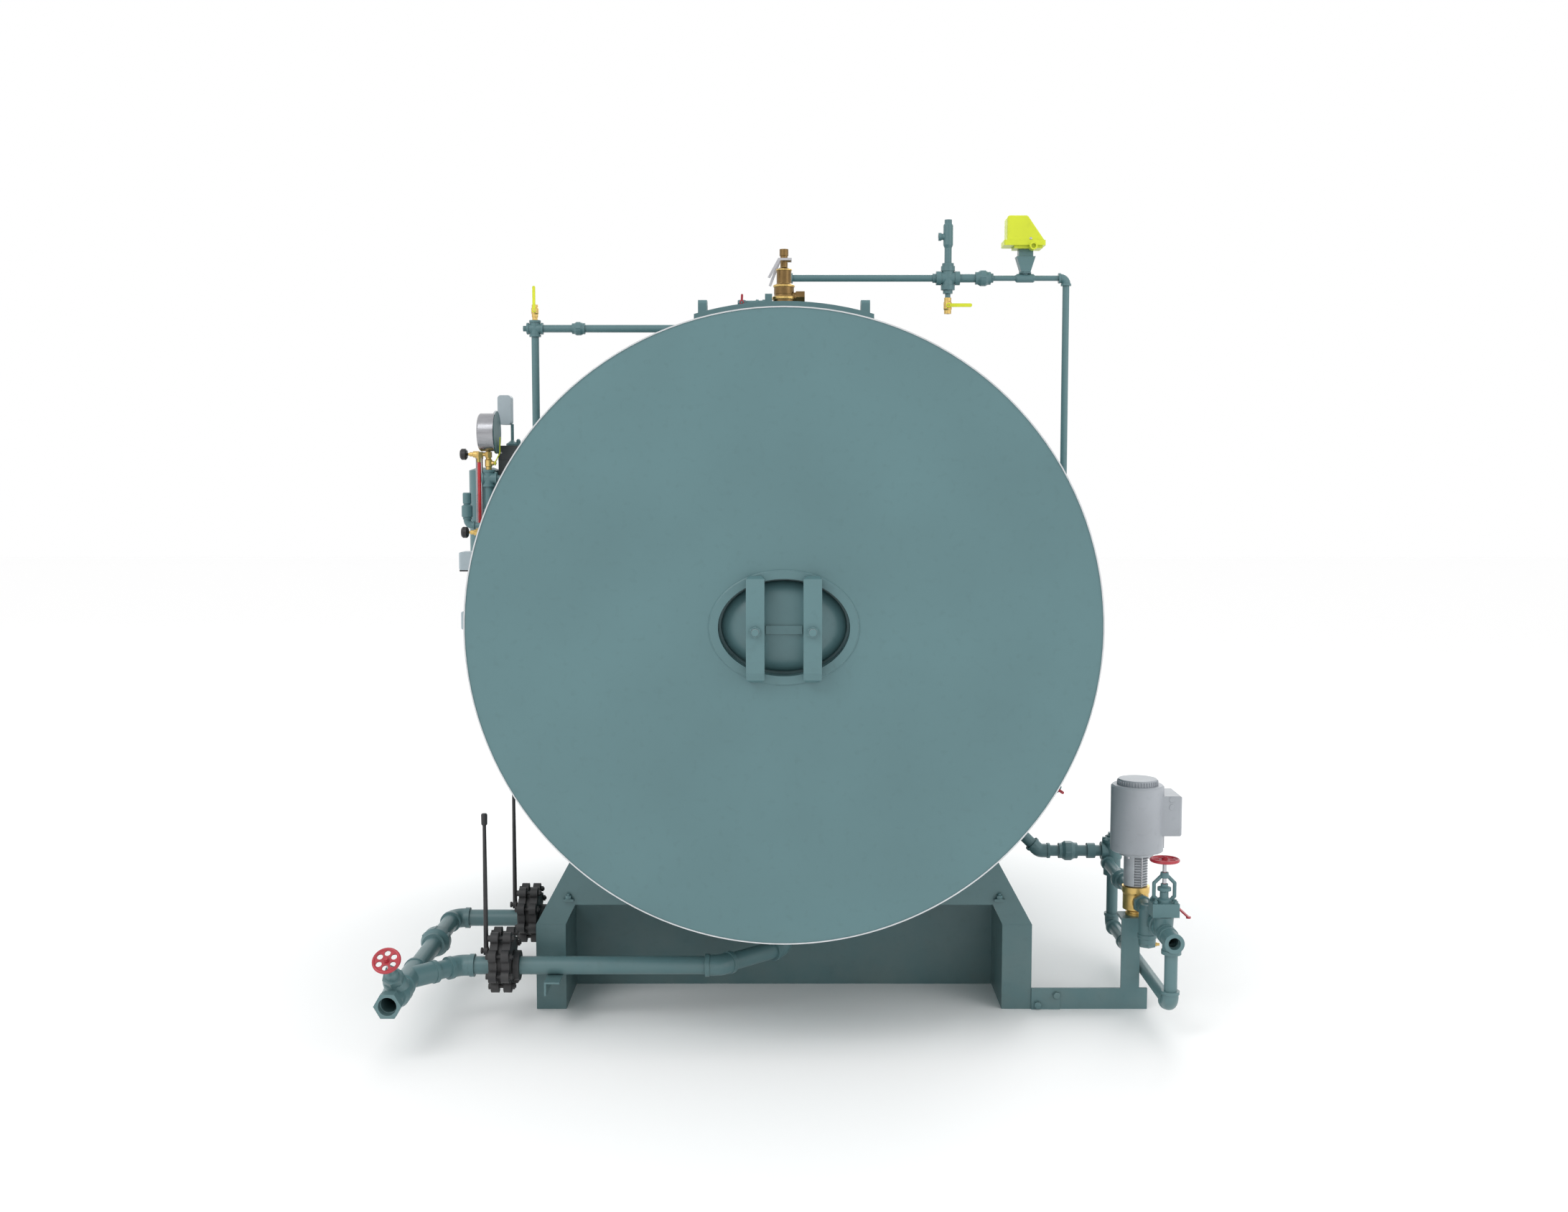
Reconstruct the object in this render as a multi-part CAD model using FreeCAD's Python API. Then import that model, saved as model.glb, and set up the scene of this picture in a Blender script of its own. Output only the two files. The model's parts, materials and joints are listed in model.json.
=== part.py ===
import FreeCAD, Part
import math
import os

from FreeCAD import Vector, Rotation

os.makedirs("parts", exist_ok=True)

# Horizontal firetube boiler on a skid, with its blowdown, feed and steam trim.
# Frame: X across the boiler, Y along it with the manway end at -Y, Z up from the floor.
# All sizes are in millimetres.

# ---- Overall sizes ---------------------------------------------------------------
jacket_r = 980.0            # outside radius over the edge trim
jacket_len = 3000.0         # length over the two end plates
floor_gap = 380.0           # floor to the lowest line of the jacket
axis_z = floor_gap + jacket_r
half_len = jacket_len / 2
top_z = axis_z + jacket_r
side_z = axis_z + 20.0      # height datum of the fittings on the left side

# ---- Jacket, end plates and edge trim -----------------------------------------------
skin_r = jacket_r - 3       # outside of the jacket sheet and of the end plates
skin_t = 8.0
plate_t = 10.0
trim_face = 4.0             # trim width seen on the end plate
trim_back = 38.0            # trim length along the jacket

# ---- Manway ---------------------------------------------------------------------------
man_open_a = 202.0          # half width of the opening
man_open_b = 149.0          # half height of the opening
man_ring_w = 25.0           # width of the ring around it
man_depth = 66.0
man_z = axis_z + 8.0         # the manway sits a little above the boiler axis
man_proud = 6.0
yoke_x = 87.0
yoke_w = 56.0
yoke_h = 325.0
yoke_rise = 46.0

# ---- Skid -----------------------------------------------------------------------------
base_half = jacket_r - 129  # half width over the rails
rail_w = 102.0
rail_h = 296.0
rail_half = 980.0           # half length of the rails
rail_t = 12.0
saddle_t = 18.0
cross_y = 696.0
bolt_shelf_z = 380.0

# ---- Pipe sizes: outside radius and bore radius -------------------------------------------
pipe_2 = (30.15, 26.2)
pipe_1q = (21.1, 17.5)
pipe_1 = (16.7, 13.3)
pipe_34 = (13.35, 10.5)
pipe_12 = (10.65, 7.9)
pipe_38 = (8.55, 6.3)
socket_2 = (28.7, 26.0)     # threaded mouth: radius and depth
socket_1q = (19.5, 24.0)
socket_34 = (12.3, 50.0)

# ---- Blowdown lines -------------------------------------------------------------------
blow_z = 190.0
blow_near_y = -1097.0
blow_far_y = -511.0
blow_near_tap = -882.0
valve_x = -(base_half + 86.0)       # middle of the quick-opening valves
header_x = -(base_half + 379.0)
wye_y = -1238.0
globe_y = -1378.0
header_end_y = -1526.0
lever_len = 467.0

# ---- Feed line and pump ---------------------------------------------------------------
feed_x = base_half + 399.0
feed_back_y = -368.0
feed_low_z = 125.0
stand_h = 318.0              # top of the pump stand; the inlet line follows it
inlet_z = stand_h + 19.0
inlet_y = -1308.0
feed_top_z = 411.0
pump_x = base_half + 365.0
pump_y = -928.0
arm_h = 73.0

# ---- Top lines ------------------------------------------------------------------------
cover_half = 288.0
cover_rise = 50.0
cover_half_len = 1200.0
cover_r = skin_r + cover_rise
right_z = top_z + 262.0
right_y = -5.0
cross_x = 642.0
union_x = 781.0
switch_x = 944.0
right_drop_x = jacket_r + 125.0
left_z = top_z + 137.0
left_y = 780.0
left_drop_x = -(jacket_r + 117.0)

# ---- Water column group, on the left side ---------------------------------------------
col_x = -(jacket_r + 264.0)
col_y = 340.0
col_r = 67.0
riser_x = -(jacket_r + 225.0)
riser_y = 200.0
glass_x = -(jacket_r + 263.0)
cross_z = side_z + 441.0
glass_top_z = side_z + 538.0
glass_low_z = side_z + 220.0
gauge_z = side_z + 627.0

# ---- Safety valve ---------------------------------------------------------------------
safety_y = -880.0

X = Vector(1, 0, 0)
Y = Vector(0, 1, 0)
Z = Vector(0, 0, 1)


# ---- Building blocks ------------------------------------------------------------------
def unit(v):
    w = Vector(v)
    w.normalize()
    return w


def rod(p, q, r):
    """Round bar from p to q."""
    d = q - p
    return Part.makeCylinder(r, d.Length, p, d)


def box(x0, x1, y0, y1, z0, z1):
    return Part.makeBox(x1 - x0, y1 - y0, z1 - z0, Vector(x0, y0, z0))


def turned(steps, p, d):
    """Solid turned about the axis through p along d; steps are (distance, radius)."""
    pts = [Vector(0, 0, steps[0][0])]
    for s, r in steps:
        pts.append(Vector(r, 0, s))
    pts.append(Vector(0, 0, steps[-1][0]))
    clean = [pts[0]]
    for q in pts[1:]:
        if (q - clean[-1]).Length > 1e-6:
            clean.append(q)
    wire = Part.makePolygon(clean + [clean[0]])
    solid = Part.Face(wire).revolve(Vector(0, 0, 0), Z, 360)
    solid.Placement = FreeCAD.Placement(p, Rotation(Z, d))
    return solid


def prism(sides, flats, h, p, d, turn=0.0):
    """Bar with a regular section, measured across its flats, from p along d."""
    r = flats / 2 / math.cos(math.pi / sides)
    pts = []
    for k in range(sides + 1):
        a = math.radians(turn) + 2 * math.pi * (k + 0.5) / sides
        pts.append(Vector(r * math.cos(a), r * math.sin(a), 0))
    solid = Part.Face(Part.makePolygon(pts)).extrude(Vector(0, 0, h))
    solid.Placement = FreeCAD.Placement(p, Rotation(Z, d))
    return solid


def path(points, bend):
    """Wire through the points with its corners rounded to the bend radius."""
    edges = []
    here = points[0]
    for k in range(1, len(points) - 1):
        a = unit(points[k - 1] - points[k])
        b = unit(points[k + 1] - points[k])
        half = a.getAngle(b) / 2
        back = bend / math.tan(half)
        p = points[k] + a * back
        q = points[k] + b * back
        mid_dir = unit(a + b)
        mid = points[k] + mid_dir * (bend / math.sin(half) - bend)
        if (p - here).Length > 1e-3:
            edges.append(Part.makeLine(here, p))
        edges.append(Part.Arc(p, mid, q).toShape())
        here = q
    edges.append(Part.makeLine(here, points[-1]))
    return Part.Wire(edges)


def swept(points, r, bend):
    """Round bar bent through the points."""
    if len(points) == 2:
        return rod(points[0], points[1], r)
    wire = path(points, bend)
    ring = Part.Wire(Part.makeCircle(r, points[0], points[1] - points[0]))
    return wire.makePipeShell([ring], True, False)


def fuse(shapes):
    """One solid from several that touch or overlap."""
    out = shapes[0]
    if len(shapes) > 1:
        out = out.multiFuse(shapes[1:])
    out = out.removeSplitter()
    return out


def ellipse_bar(a, b, y0, y1):
    """Elliptical bar along Y, centred on the manway."""
    curve = Part.Ellipse(Vector(0, 0, man_z), a, b)
    curve.Axis = Vector(0, -1, 0)
    curve.XAxis = Vector(1, 0, 0)
    face = Part.Face(Part.Wire(curve.toShape()))
    face.translate(Vector(0, y0, 0))
    return face.extrude(Vector(0, y1 - y0, 0))


def save(shape, name):
    shape.exportStep("parts/" + name + ".step")


class Run:
    """A run of screwed pipe: the metal of pipes and fittings, and the bore through them."""

    def __init__(self, size, bend):
        self.size = size
        self.bend = bend
        self.metal = []
        self.bore = []

    def pipe(self, points, size=None):
        ro, ri = size or self.size
        self.metal.append(swept(points, ro, self.bend))
        first = points[0] - unit(points[1] - points[0]) * 0.5
        last = points[-1] + unit(points[-1] - points[-2]) * 0.5
        self.bore.append(swept([first] + points[1:-1] + [last], ri, self.bend))

    def band(self, p, d, w, grow):
        self.metal.append(rod(p, p + unit(d) * w, self.size[0] + grow))

    def elbow(self, c, a, b, reach, wall=5.0, band=8.0):
        """Elbow at the corner c with its legs along a and b."""
        p = c + unit(a) * reach
        q = c + unit(b) * reach
        self.metal.append(swept([p, c, q], self.size[0] + wall, self.bend))
        for e, d in ((p, a), (q, b)):
            self.metal.append(rod(e, e - unit(d) * band, self.size[0] + wall + 3))

    def branch(self, c, dirs, reach, wall=5.0, band=8.0):
        """Tee, cross or wye: a leg along each direction."""
        for d in dirs:
            e = c + unit(d) * reach
            self.metal.append(rod(c, e, self.size[0] + wall))
            self.metal.append(rod(e, e - unit(d) * band, self.size[0] + wall + 3))

    def hexagon(self, p, d, flats, w, turn=0.0):
        self.metal.append(prism(6, flats, w, p, d, turn))

    def union(self, c, d, r):
        """Hexagon union: a wide middle nut between two smaller ends."""
        u = unit(d)
        self.hexagon(c - u * 0.45 * r, d, 2.55 * r, 0.9 * r)
        self.metal.append(turned([(-1.35 * r, r * 1.12), (-0.9 * r, r * 1.12),
                                  (-0.45 * r, r * 1.4), (0.45 * r, r * 1.4),
                                  (0.9 * r, r * 1.16), (1.35 * r, r * 1.16)], c, d))

    def body(self, cutters=()):
        out = fuse(self.metal)
        bore = self.bore[0]
        if len(self.bore) > 1:
            bore = bore.multiFuse(self.bore[1:])
        out = out.cut(bore)
        for tool in cutters:
            out = out.cut(tool)
        return out


shell_solid = Part.makeCylinder(skin_r, jacket_len, Vector(0, -half_len, axis_z), Y)
cover_solid = Part.makeCylinder(cover_r, jacket_len, Vector(0, -half_len, axis_z), Y)


def radial(deg, r, y):
    """Point at radius r, turned deg above the +X side, at the station y."""
    a = math.radians(deg)
    return Vector(r * math.cos(a), y, axis_z + r * math.sin(a))


# ---- Jacket ---------------------------------------------------------------------------
tube_len = jacket_len - 2 * plate_t
tube_start = Vector(0, -half_len + plate_t, axis_z)
jacket = Part.makeCylinder(skin_r, tube_len, tube_start, Y)
jacket = jacket.cut(Part.makeCylinder(skin_r - skin_t, tube_len, tube_start, Y))
save(jacket, "jacket")

end_far = Part.makeCylinder(skin_r, plate_t, Vector(0, half_len - plate_t, axis_z), Y)
save(end_far, "end_far")

ring_a = man_open_a + man_ring_w
ring_b = man_open_b + man_ring_w
end_near = Part.makeCylinder(skin_r, plate_t, Vector(0, -half_len, axis_z), Y)
end_near = end_near.cut(ellipse_bar(ring_a, ring_b, -half_len - 5, -half_len + plate_t + 5))
save(end_near, "end_near")

# Edge trim: an angle-shaped ring folded over each edge of the jacket.
trims = []
for side in (-1, 1):
    lip = 3.0
    outer = Part.makeCylinder(jacket_r, trim_back + lip, Vector(0, side * (half_len + lip), axis_z), Y * -side)
    inner = Part.makeCylinder(skin_r, trim_back, Vector(0, side * half_len, axis_z), Y * -side)
    mouth = Part.makeCylinder(jacket_r - trim_face, lip, Vector(0, side * (half_len + lip), axis_z), Y * -side)
    trims.append(outer.cut(inner).cut(mouth))
save(Part.makeCompound(trims), "jacket_trim")

# ---- Manway ---------------------------------------------------------------------------
face_y = -half_len - man_proud
seat_y = face_y + man_depth
ring = ellipse_bar(ring_a, ring_b, face_y, seat_y)
ring = ring.cut(ellipse_bar(man_open_a, man_open_b, face_y, seat_y))
save(ring, "manway_ring")

# The dished cover closes the ring from inside, its flange against the back of the ring.
flange_a = man_open_a + 14
flange_b = man_open_b + 14
flange = ellipse_bar(flange_a, flange_b, seat_y, seat_y + 14)
dome = Part.makeSphere(100.0, Vector(0, 0, 0), Vector(0, -1, 0), 0, 90, 360)
dome_m = FreeCAD.Matrix()
dome_m.scale((man_open_a - 8) / 100, 0.56, (man_open_b - 8) / 100)
dome = dome.transformGeometry(dome_m)
dome.translate(Vector(0, seat_y, man_z))
handle = box(-yoke_x + yoke_w / 2 + 3, yoke_x - yoke_w / 2 - 3,
             seat_y - 62, seat_y - 20, man_z - 20, man_z + 6)
cover = fuse([flange, dome, handle])
save(cover, "manway_cover")

# Two arched yokes bridge the ring and draw the cover up with one stud each.
yokes = []
foot = yoke_h / 2
yoke_z = man_z - 3
for side in (-1, 1):
    x0 = side * yoke_x - yoke_w / 2
    outer_pts = []
    inner_pts = []
    steps = 10
    for k in range(steps + 1):
        a = math.pi * k / steps
        z = yoke_z - foot * math.cos(a)
        outer_pts.append(Vector(x0, face_y - 20 - yoke_rise * math.sin(a) ** 0.7, z))
        zi = yoke_z - (foot - 26) * math.cos(a)
        inner_pts.append(Vector(x0, face_y - yoke_rise * 0.62 * math.sin(a) ** 0.7, zi))
    pts = [Vector(x0, face_y, yoke_z - foot)] + outer_pts
    pts += [Vector(x0, face_y, yoke_z + foot)] + inner_pts[::-1]
    pts.append(pts[0])
    arch = Part.Face(Part.makePolygon(pts)).extrude(X * yoke_w)
    blank = box(x0, x0 + yoke_w, face_y - 80, face_y, yoke_z - foot, yoke_z + foot)
    corners = [e for e in blank.Edges if e.BoundBox.YLength > 70]
    arch = arch.common(blank.makeChamfer(9.0, corners))
    crown_y = face_y - 20 - yoke_rise
    stud_z = man_z - 7
    stud = rod(Vector(side * yoke_x, crown_y - 22, stud_z),
               Vector(side * yoke_x, seat_y - 5, stud_z), 11)
    stud = stud.cut(dome)
    nut = prism(6, 31, 17, Vector(side * yoke_x, crown_y - 13, stud_z), Y)
    yokes.append(fuse([arch, stud, nut]))
save(Part.makeCompound(yokes), "manway_yokes")

# ---- Skid rails: channels with closed ends, open to the outside ---------------------------
rails = []
for side in (-1, 1):
    x_in = base_half - rail_w
    rail = box(x_in, base_half, -rail_half, rail_half, 0, rail_h)
    hollow = box(x_in + rail_t, base_half + 1, -rail_half + rail_t, rail_half - rail_t,
                 rail_t + 4, rail_h - rail_t - 4)
    rail = rail.cut(hollow)
    if side < 0:
        rail = rail.mirror(Vector(0, 0, 0), X)
        rail = rail.cut(rod(Vector(-base_half - 5, blow_far_y, blow_z),
                            Vector(-x_in + 5, blow_far_y, blow_z), 42))
    rails.append(rail)
# Angle bracket under the near blowdown pipe.
bracket_top = blow_z - pipe_2[0]
bracket_x = -(base_half - 57)
bracket = fuse([
    box(bracket_x, bracket_x + 51, -1190, -rail_half, bracket_top - 6, bracket_top),
    box(bracket_x, bracket_x + 6, -1190, -rail_half, bracket_top - 46, bracket_top)])
save(Part.makeCompound(rails), "base_rails")
save(bracket, "pipe_bracket")

# Saddles: end plates that follow the jacket, with a sloping flange at each side.
saddles = []
slope_mid = base_half - 118
slope_top = base_half - 194
slope_mid_z = floor_gap + 134
slope_top_z = floor_gap + 273
for side in (-1, 1):
    y_out = side * rail_half
    y_in = side * (rail_half - saddle_t)
    x_in = base_half - rail_w
    right = [(x_in, rail_h), (base_half, rail_h), (slope_mid, slope_mid_z), (slope_top, slope_top_z)]
    left = [(-x, z) for x, z in right[::-1]]
    low = [(-(x_in - 32), rail_h + 69), (x_in - 32, rail_h + 69)]
    outline = right + left + low
    pts = [Vector(x, y_out, z) for x, z in outline]
    plate = Part.Face(Part.makePolygon(pts + [pts[0]])).extrude(Vector(0, y_in - y_out, 0))
    pieces = [plate]
    for s in (-1, 1):
        band = [(base_half, rail_h), (slope_mid, slope_mid_z), (slope_top, slope_top_z),
                (slope_top - 12, slope_top_z - 8), (slope_mid - 12, slope_mid_z - 8),
                (base_half - 14, rail_h)]
        bp = [Vector(s * x, y_out, z) for x, z in band]
        pieces.append(Part.Face(Part.makePolygon(bp + [bp[0]])).extrude(Vector(0, -side * 160, 0)))
        shelf = box(s * (base_half - 114) - 18, s * (base_half - 114) + 18,
                    min(y_out, y_out + side * 16), max(y_out, y_out + side * 16),
                    bolt_shelf_z, bolt_shelf_z + 8)
        pieces.append(shelf)
    saddles.append(fuse(pieces).cut(shell_solid))
save(Part.makeCompound(saddles), "base_saddles")

# Crossmembers between the rails; their tops cradle the jacket.
members = []
for y in (-cross_y, 0.0, cross_y):
    x_in = base_half - rail_w
    web = box(-x_in, x_in, y - 6, y + 6, 0, floor_gap + 80)
    lower = box(-x_in, x_in, y - 6, y + 84, 0, 16)
    upper = box(-x_in, -x_in + 12, y - 6, y + 84, 16, rail_h)
    other = box(x_in - 12, x_in, y - 6, y + 84, 16, rail_h)
    member = fuse([web, lower, upper, other]).cut(shell_solid)
    members.append(member)
save(Part.makeCompound(members), "base_crossmembers")

# ---- Blowdown lines -------------------------------------------------------------------
valve_half = 51.0
valve_right = valve_x + valve_half
valve_left = valve_x - valve_half


def tap(run, deg, y, rise):
    """Half coupling welded on the jacket for a radial pipe."""
    run.metal.append(rod(radial(deg, skin_r - 30, y), radial(deg, skin_r + rise, y),
                         run.size[0] + 8))


near = Run(pipe_2, 42.0)
p0 = radial(-90, skin_r - 30, blow_near_tap)
p1 = Vector(0, blow_near_tap, blow_z)
slant = blow_near_tap - blow_near_y
p2 = Vector(-slant, blow_near_y, blow_z)
p3 = Vector(valve_right, blow_near_y, blow_z)
near.pipe([p0, p1, p2, p3])
tap(near, -90, blow_near_tap, 45)
near.elbow(p1, Z, p2 - p1, 60, band=15)
near.elbow(p2, p1 - p2, X * -1, 50, band=15)

far = Run(pipe_2, 42.0)
q0 = radial(-90, skin_r - 30, blow_far_y)
q1 = Vector(0, blow_far_y, blow_z)
q2 = Vector(valve_right, blow_far_y, blow_z)
far.pipe([q0, q1, q2])
tap(far, -90, blow_far_y, 45)
far.elbow(q1, Z, X * -1, 60, band=15)
save(Part.makeCompound([near.body([shell_solid]), far.body([shell_solid])]), "blowdown_drops")

# Header: both lines meet in a wye and end at the globe valve.
head = Run(pipe_2, 42.0)
h0 = Vector(valve_left, blow_near_y, blow_z)
turn = blow_near_y - wye_y
h1 = Vector(header_x + turn, blow_near_y, blow_z)
h2 = Vector(header_x, wye_y, blow_z)
h3 = Vector(header_x, globe_y + 66, blow_z)
wye_arm = unit(h1 - h2)
head.pipe([h0, h1, h2 + wye_arm * 30], (pipe_2[0], pipe_2[1] - 0.6))
head.bore.append(rod(h2 + wye_arm * 31, h2 - wye_arm * 6, pipe_2[1] - 0.6))
head.elbow(h1, X, h2 - h1, 50, band=16)
far0 = Vector(valve_left, blow_far_y, blow_z)
far1 = Vector(header_x, blow_far_y, blow_z)
head.pipe([far0, far1, h3])
head.elbow(far1, X, Y * -1, 62, band=16)
head.union(Vector(header_x, -818, blow_z), Y, 36)
head.metal.append(rod(h2 + Y * 104, h3, pipe_2[0] + 6))
head.metal.append(rod(h2 + Y * 104, h2 + Y * 90, pipe_2[0] + 9))
head.metal.append(rod(h2, h2 + wye_arm * 104, pipe_2[0] + 5))
head.metal.append(rod(h2 + wye_arm * 104, h2 + wye_arm * 90, pipe_2[0] + 8))
save(head.body(), "blowdown_header")

# Quick-opening valves: two lobed flanges, a companion flange and the lever pivot.
pivot_up = 50.0
disc_z = blow_z + 20.0       # the sliding disc housing sits above the pipe axis
lobe_r = 88.0


def lobed_flange(x0, t, y):
    parts = [rod(Vector(x0, y, disc_z), Vector(x0 + t, y, disc_z), 84)]
    for k in range(8):
        a = math.radians(22.5 + 45 * k)
        c = Vector(x0, y + lobe_r * math.cos(a), disc_z + lobe_r * math.sin(a))
        parts.append(rod(c, c + X * t, 21))
    return fuse(parts)


def quick_valve(y):
    left = Vector(valve_left, y, blow_z)
    body = [turned([(0, 35), (10, 35)], left, X)]
    body.append(turned([(4, 60), (12, 74), (80, 74)], Vector(valve_left, y, disc_z), X))
    body.append(turned([(78, 40), (82, 40), (82, 50), (2 * valve_half, 50)], left, X))
    body.append(lobed_flange(valve_left + 10, 26, y))
    body.append(lobed_flange(valve_left + 52, 26, y))
    pivot = Vector(valve_left + 20, y, blow_z + pivot_up)
    body.append(rod(pivot, pivot - X * 46, 7))
    body.append(rod(pivot - X * 44, pivot - X * 50, 10.5))
    solid = fuse(body)
    bore = rod(left - X, left + X * (2 * valve_half + 2), pipe_2[1])
    return solid.cut(bore)


def quick_lever(y):
    """Lever that works a quick-opening valve: hub, rod and grip."""
    pivot = Vector(valve_left - 20, y, blow_z + pivot_up)
    hub = rod(pivot, pivot + X * 14, 14.5)
    mid = pivot + X * 7
    tip = mid + Z * lever_len
    shaft = turned([(0, 8), (lever_len * 0.5, 7), (lever_len - 30, 6)], mid, Z)
    grip = turned([(lever_len - 40, 7), (lever_len - 36, 10), (lever_len - 4, 10.5),
                   (lever_len, 8)], mid, Z)
    lever = fuse([hub, shaft, grip])
    return lever.cut(rod(pivot - X, pivot + X * 15, 7.5))


save(Part.makeCompound([quick_valve(blow_near_y), quick_valve(blow_far_y)]), "quick_valves")
save(quick_lever(blow_near_y), "lever_near")
save(quick_lever(blow_far_y), "lever_far")

# Globe valve with an inclined stem at the open end of the header.
globe = Run(pipe_2, 42.0)
g0 = Vector(header_x, globe_y + 66, blow_z)
g1 = Vector(header_x, header_end_y, blow_z)
globe.pipe([g0, g1])
globe.metal.append(turned([(0, 41), (14, 41), (22, 36), (46, 44), (96, 44), (120, 36)], g0, Y * -1))
globe.hexagon(g1 + Y * 34, Y * -1, 76, 34, 90)
globe_c = Vector(header_x, globe_y, blow_z)
lean = unit(Vector(0, -1, 1))
globe.metal.append(turned([(0, 40), (74, 36), (82, 33)], globe_c, lean))
globe.hexagon(globe_c + lean * 82, lean, 58, 26)
globe.metal.append(turned([(108, 22), (124, 20), (132, 14), (150, 14)], globe_c, lean))
globe.bore.append(rod(g1 - Y, g1 + Y * socket_2[1], socket_2[0]))
save(globe.body(), "globe_valve")


def handwheel(c, d, r, rim, hub_r, spokes, stem):
    """Handwheel centred on c with its axis along d and a stem running back from it."""
    u = unit(d)
    ring = Part.makeTorus(r - rim, rim, c, u)
    web = rod(c - u * 2.5, c + u * 2.5, r - rim * 0.6)
    side = Rotation(Z, u).multVec(X)
    holes = []
    for k in range(spokes):
        turn_k = Rotation(u, 360.0 / spokes * (k + 0.5))
        h = c + turn_k.multVec(side) * (r * 0.56)
        holes.append(rod(h - u * 10, h + u * 10, r * 0.21))
    web = web.cut(Part.makeCompound(holes))
    hub = rod(c - u * 8, c + u * 8, hub_r)
    bar = rod(c - u * stem, c, 6)
    nut = prism(6, hub_r * 1.3, 6, c + u * 8, u)
    return fuse([ring, web, hub, bar, nut])


wheel_far = 205.0
globe_wheel = handwheel(globe_c + lean * wheel_far, lean, 45.0, 5.0, 9.0, 6, 54.6)
save(globe_wheel, "globe_handwheel")

# ---- Feed line: from the side tap down to the pump level ----------------------------------
feed = Run(pipe_1q, 30.0)
drop = axis_z - feed_top_z + 20
feed_deg = math.degrees(math.atan2(feed_top_z - axis_z, drop))
f0 = radial(feed_deg, skin_r - 30, feed_back_y)
f1 = Vector(drop, feed_back_y, feed_top_z)
f2 = Vector(feed_x - 46, feed_back_y, feed_top_z)
tap(feed, feed_deg, feed_back_y, 30)
feed.pipe([f0, f1, f2])
feed.elbow(f1, f0 - f1, X, 40, band=10)
feed.union(Vector(base_half + 227, feed_back_y, feed_top_z), X, 26)
feed.band(Vector(feed_x - 100, feed_back_y, feed_top_z), X, 30, 8)
save(feed.body([shell_solid]), "feed_upper")

# Angle check valve at the top of the feed riser, with its bolted cap.
check = Run(pipe_1q, 30.0)
c0 = Vector(feed_x - 46, feed_back_y, feed_top_z)
c1 = Vector(feed_x, feed_back_y, feed_top_z)
c2 = Vector(feed_x, feed_back_y, feed_top_z - 92)
check.metal.append(turned([(0, 34), (20, 34), (24, 30), (58, 30), (66, 35), (124, 35), (124, 41),
                           (136, 41), (146, 24), (152, 24)], c2, Z))
check.metal.append(rod(c0, c1, 28))
check.metal.append(rod(c0, c0 + X * 14, 34))
check.hexagon(c2 + Z * 150, Z, 34, 12)
check.bore.append(rod(c2 - Z * 0.5, c1 + Z * 10, pipe_1q[1]))
check.bore.append(rod(c0 - X * 0.5, c1, pipe_1q[1]))
check_outer = fuse(check.metal)
save(check.body(), "check_valve")

# Low line: down the riser, forward under the pump and up to the inlet tee.
low = Run(pipe_1q, 30.0)
tee_z = inlet_z + 20
l0 = c2
l1 = Vector(feed_x, feed_back_y, feed_low_z)
l2 = Vector(feed_x, inlet_y, feed_low_z)
l3 = Vector(feed_x, inlet_y, inlet_z - 44)
low.pipe([l0, l1, l2, l3])
low.elbow(l1, Z, Y * -1, 46, band=10)
low.elbow(l2, Y, Z, 46, band=10)
strainer_y = -650.0
low.branch(Vector(feed_x, strainer_y, feed_low_z), [Y, Y * -1], 62, band=12)
arm = unit(Vector(0.45, -0.5, 0.74))
arm_c = Vector(feed_x, strainer_y + 14, feed_low_z)
low.metal.append(rod(arm_c, arm_c + arm * 96, 27))
low.hexagon(arm_c + arm * 96, arm, 62, 14)
low.hexagon(arm_c + arm * 110, arm, 34, 14)
save(low.body(), "feed_low_line")

# Inlet tee with its open end forward.
inlet = Run(pipe_1q, 30.0)
t_c = Vector(feed_x, inlet_y, inlet_z)
t_front = Vector(feed_x, inlet_y - 44, inlet_z)
t_back = Vector(feed_x, inlet_y + 62, inlet_z)
inlet.pipe([t_front, t_back])
inlet.pipe([t_c, Vector(feed_x, inlet_y, inlet_z - 44)])
inlet.branch(t_c, [Y * -1, Y, Z * -1], 44, wall=8, band=12)
inlet.bore.append(rod(t_front - Y, t_front + Y * socket_1q[1], socket_1q[0]))
save(inlet.body(), "inlet_tee")

# Gate valve: body, bonnet flange and open yoke, rising from the inlet line.
gate_y = inlet_y + 110
gate = Run(pipe_1q, 30.0)
gate.pipe([Vector(feed_x, inlet_y + 62, inlet_z), Vector(feed_x, gate_y + 48, inlet_z)])
gate_front = Vector(feed_x, inlet_y + 62, inlet_z)
gate.metal.append(turned([(0, 32), (16, 32), (24, 28), (72, 28), (80, 32), (96, 32)], gate_front, Y))
gate_c = Vector(feed_x, gate_y, inlet_z)
gate.metal.append(turned([(0, 30), (50, 33)], gate_c, Z))
gate.metal.append(box(feed_x - 44, feed_x + 44, gate_y - 34, gate_y + 34, inlet_z + 52, inlet_z + 97))
gate.metal.append(turned([(96, 24), (106, 24), (112, 14), (132, 14), (136, 22), (146, 22), (150, 12),
                          (158, 12)], gate_c, Z))
for s in (-1, 1):
    bars = [Vector(feed_x + s * 14, gate_y, inlet_z + 96), Vector(feed_x + s * 34, gate_y, inlet_z + 116),
            Vector(feed_x + s * 34, gate_y, inlet_z + 160), Vector(feed_x + s * 10, gate_y, inlet_z + 184)]
    for a, b in zip(bars[:-1], bars[1:]):
        gate.metal.append(rod(a, b, 6))
        gate.metal.append(Part.makeSphere(6, b))
gate.metal.append(turned([(178, 15), (196, 13)], gate_c, Z))
gate_body = gate.body([rod(gate_c + Z * 140, gate_c + Z * 200, 7)])
save(gate_body, "gate_valve")

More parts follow.
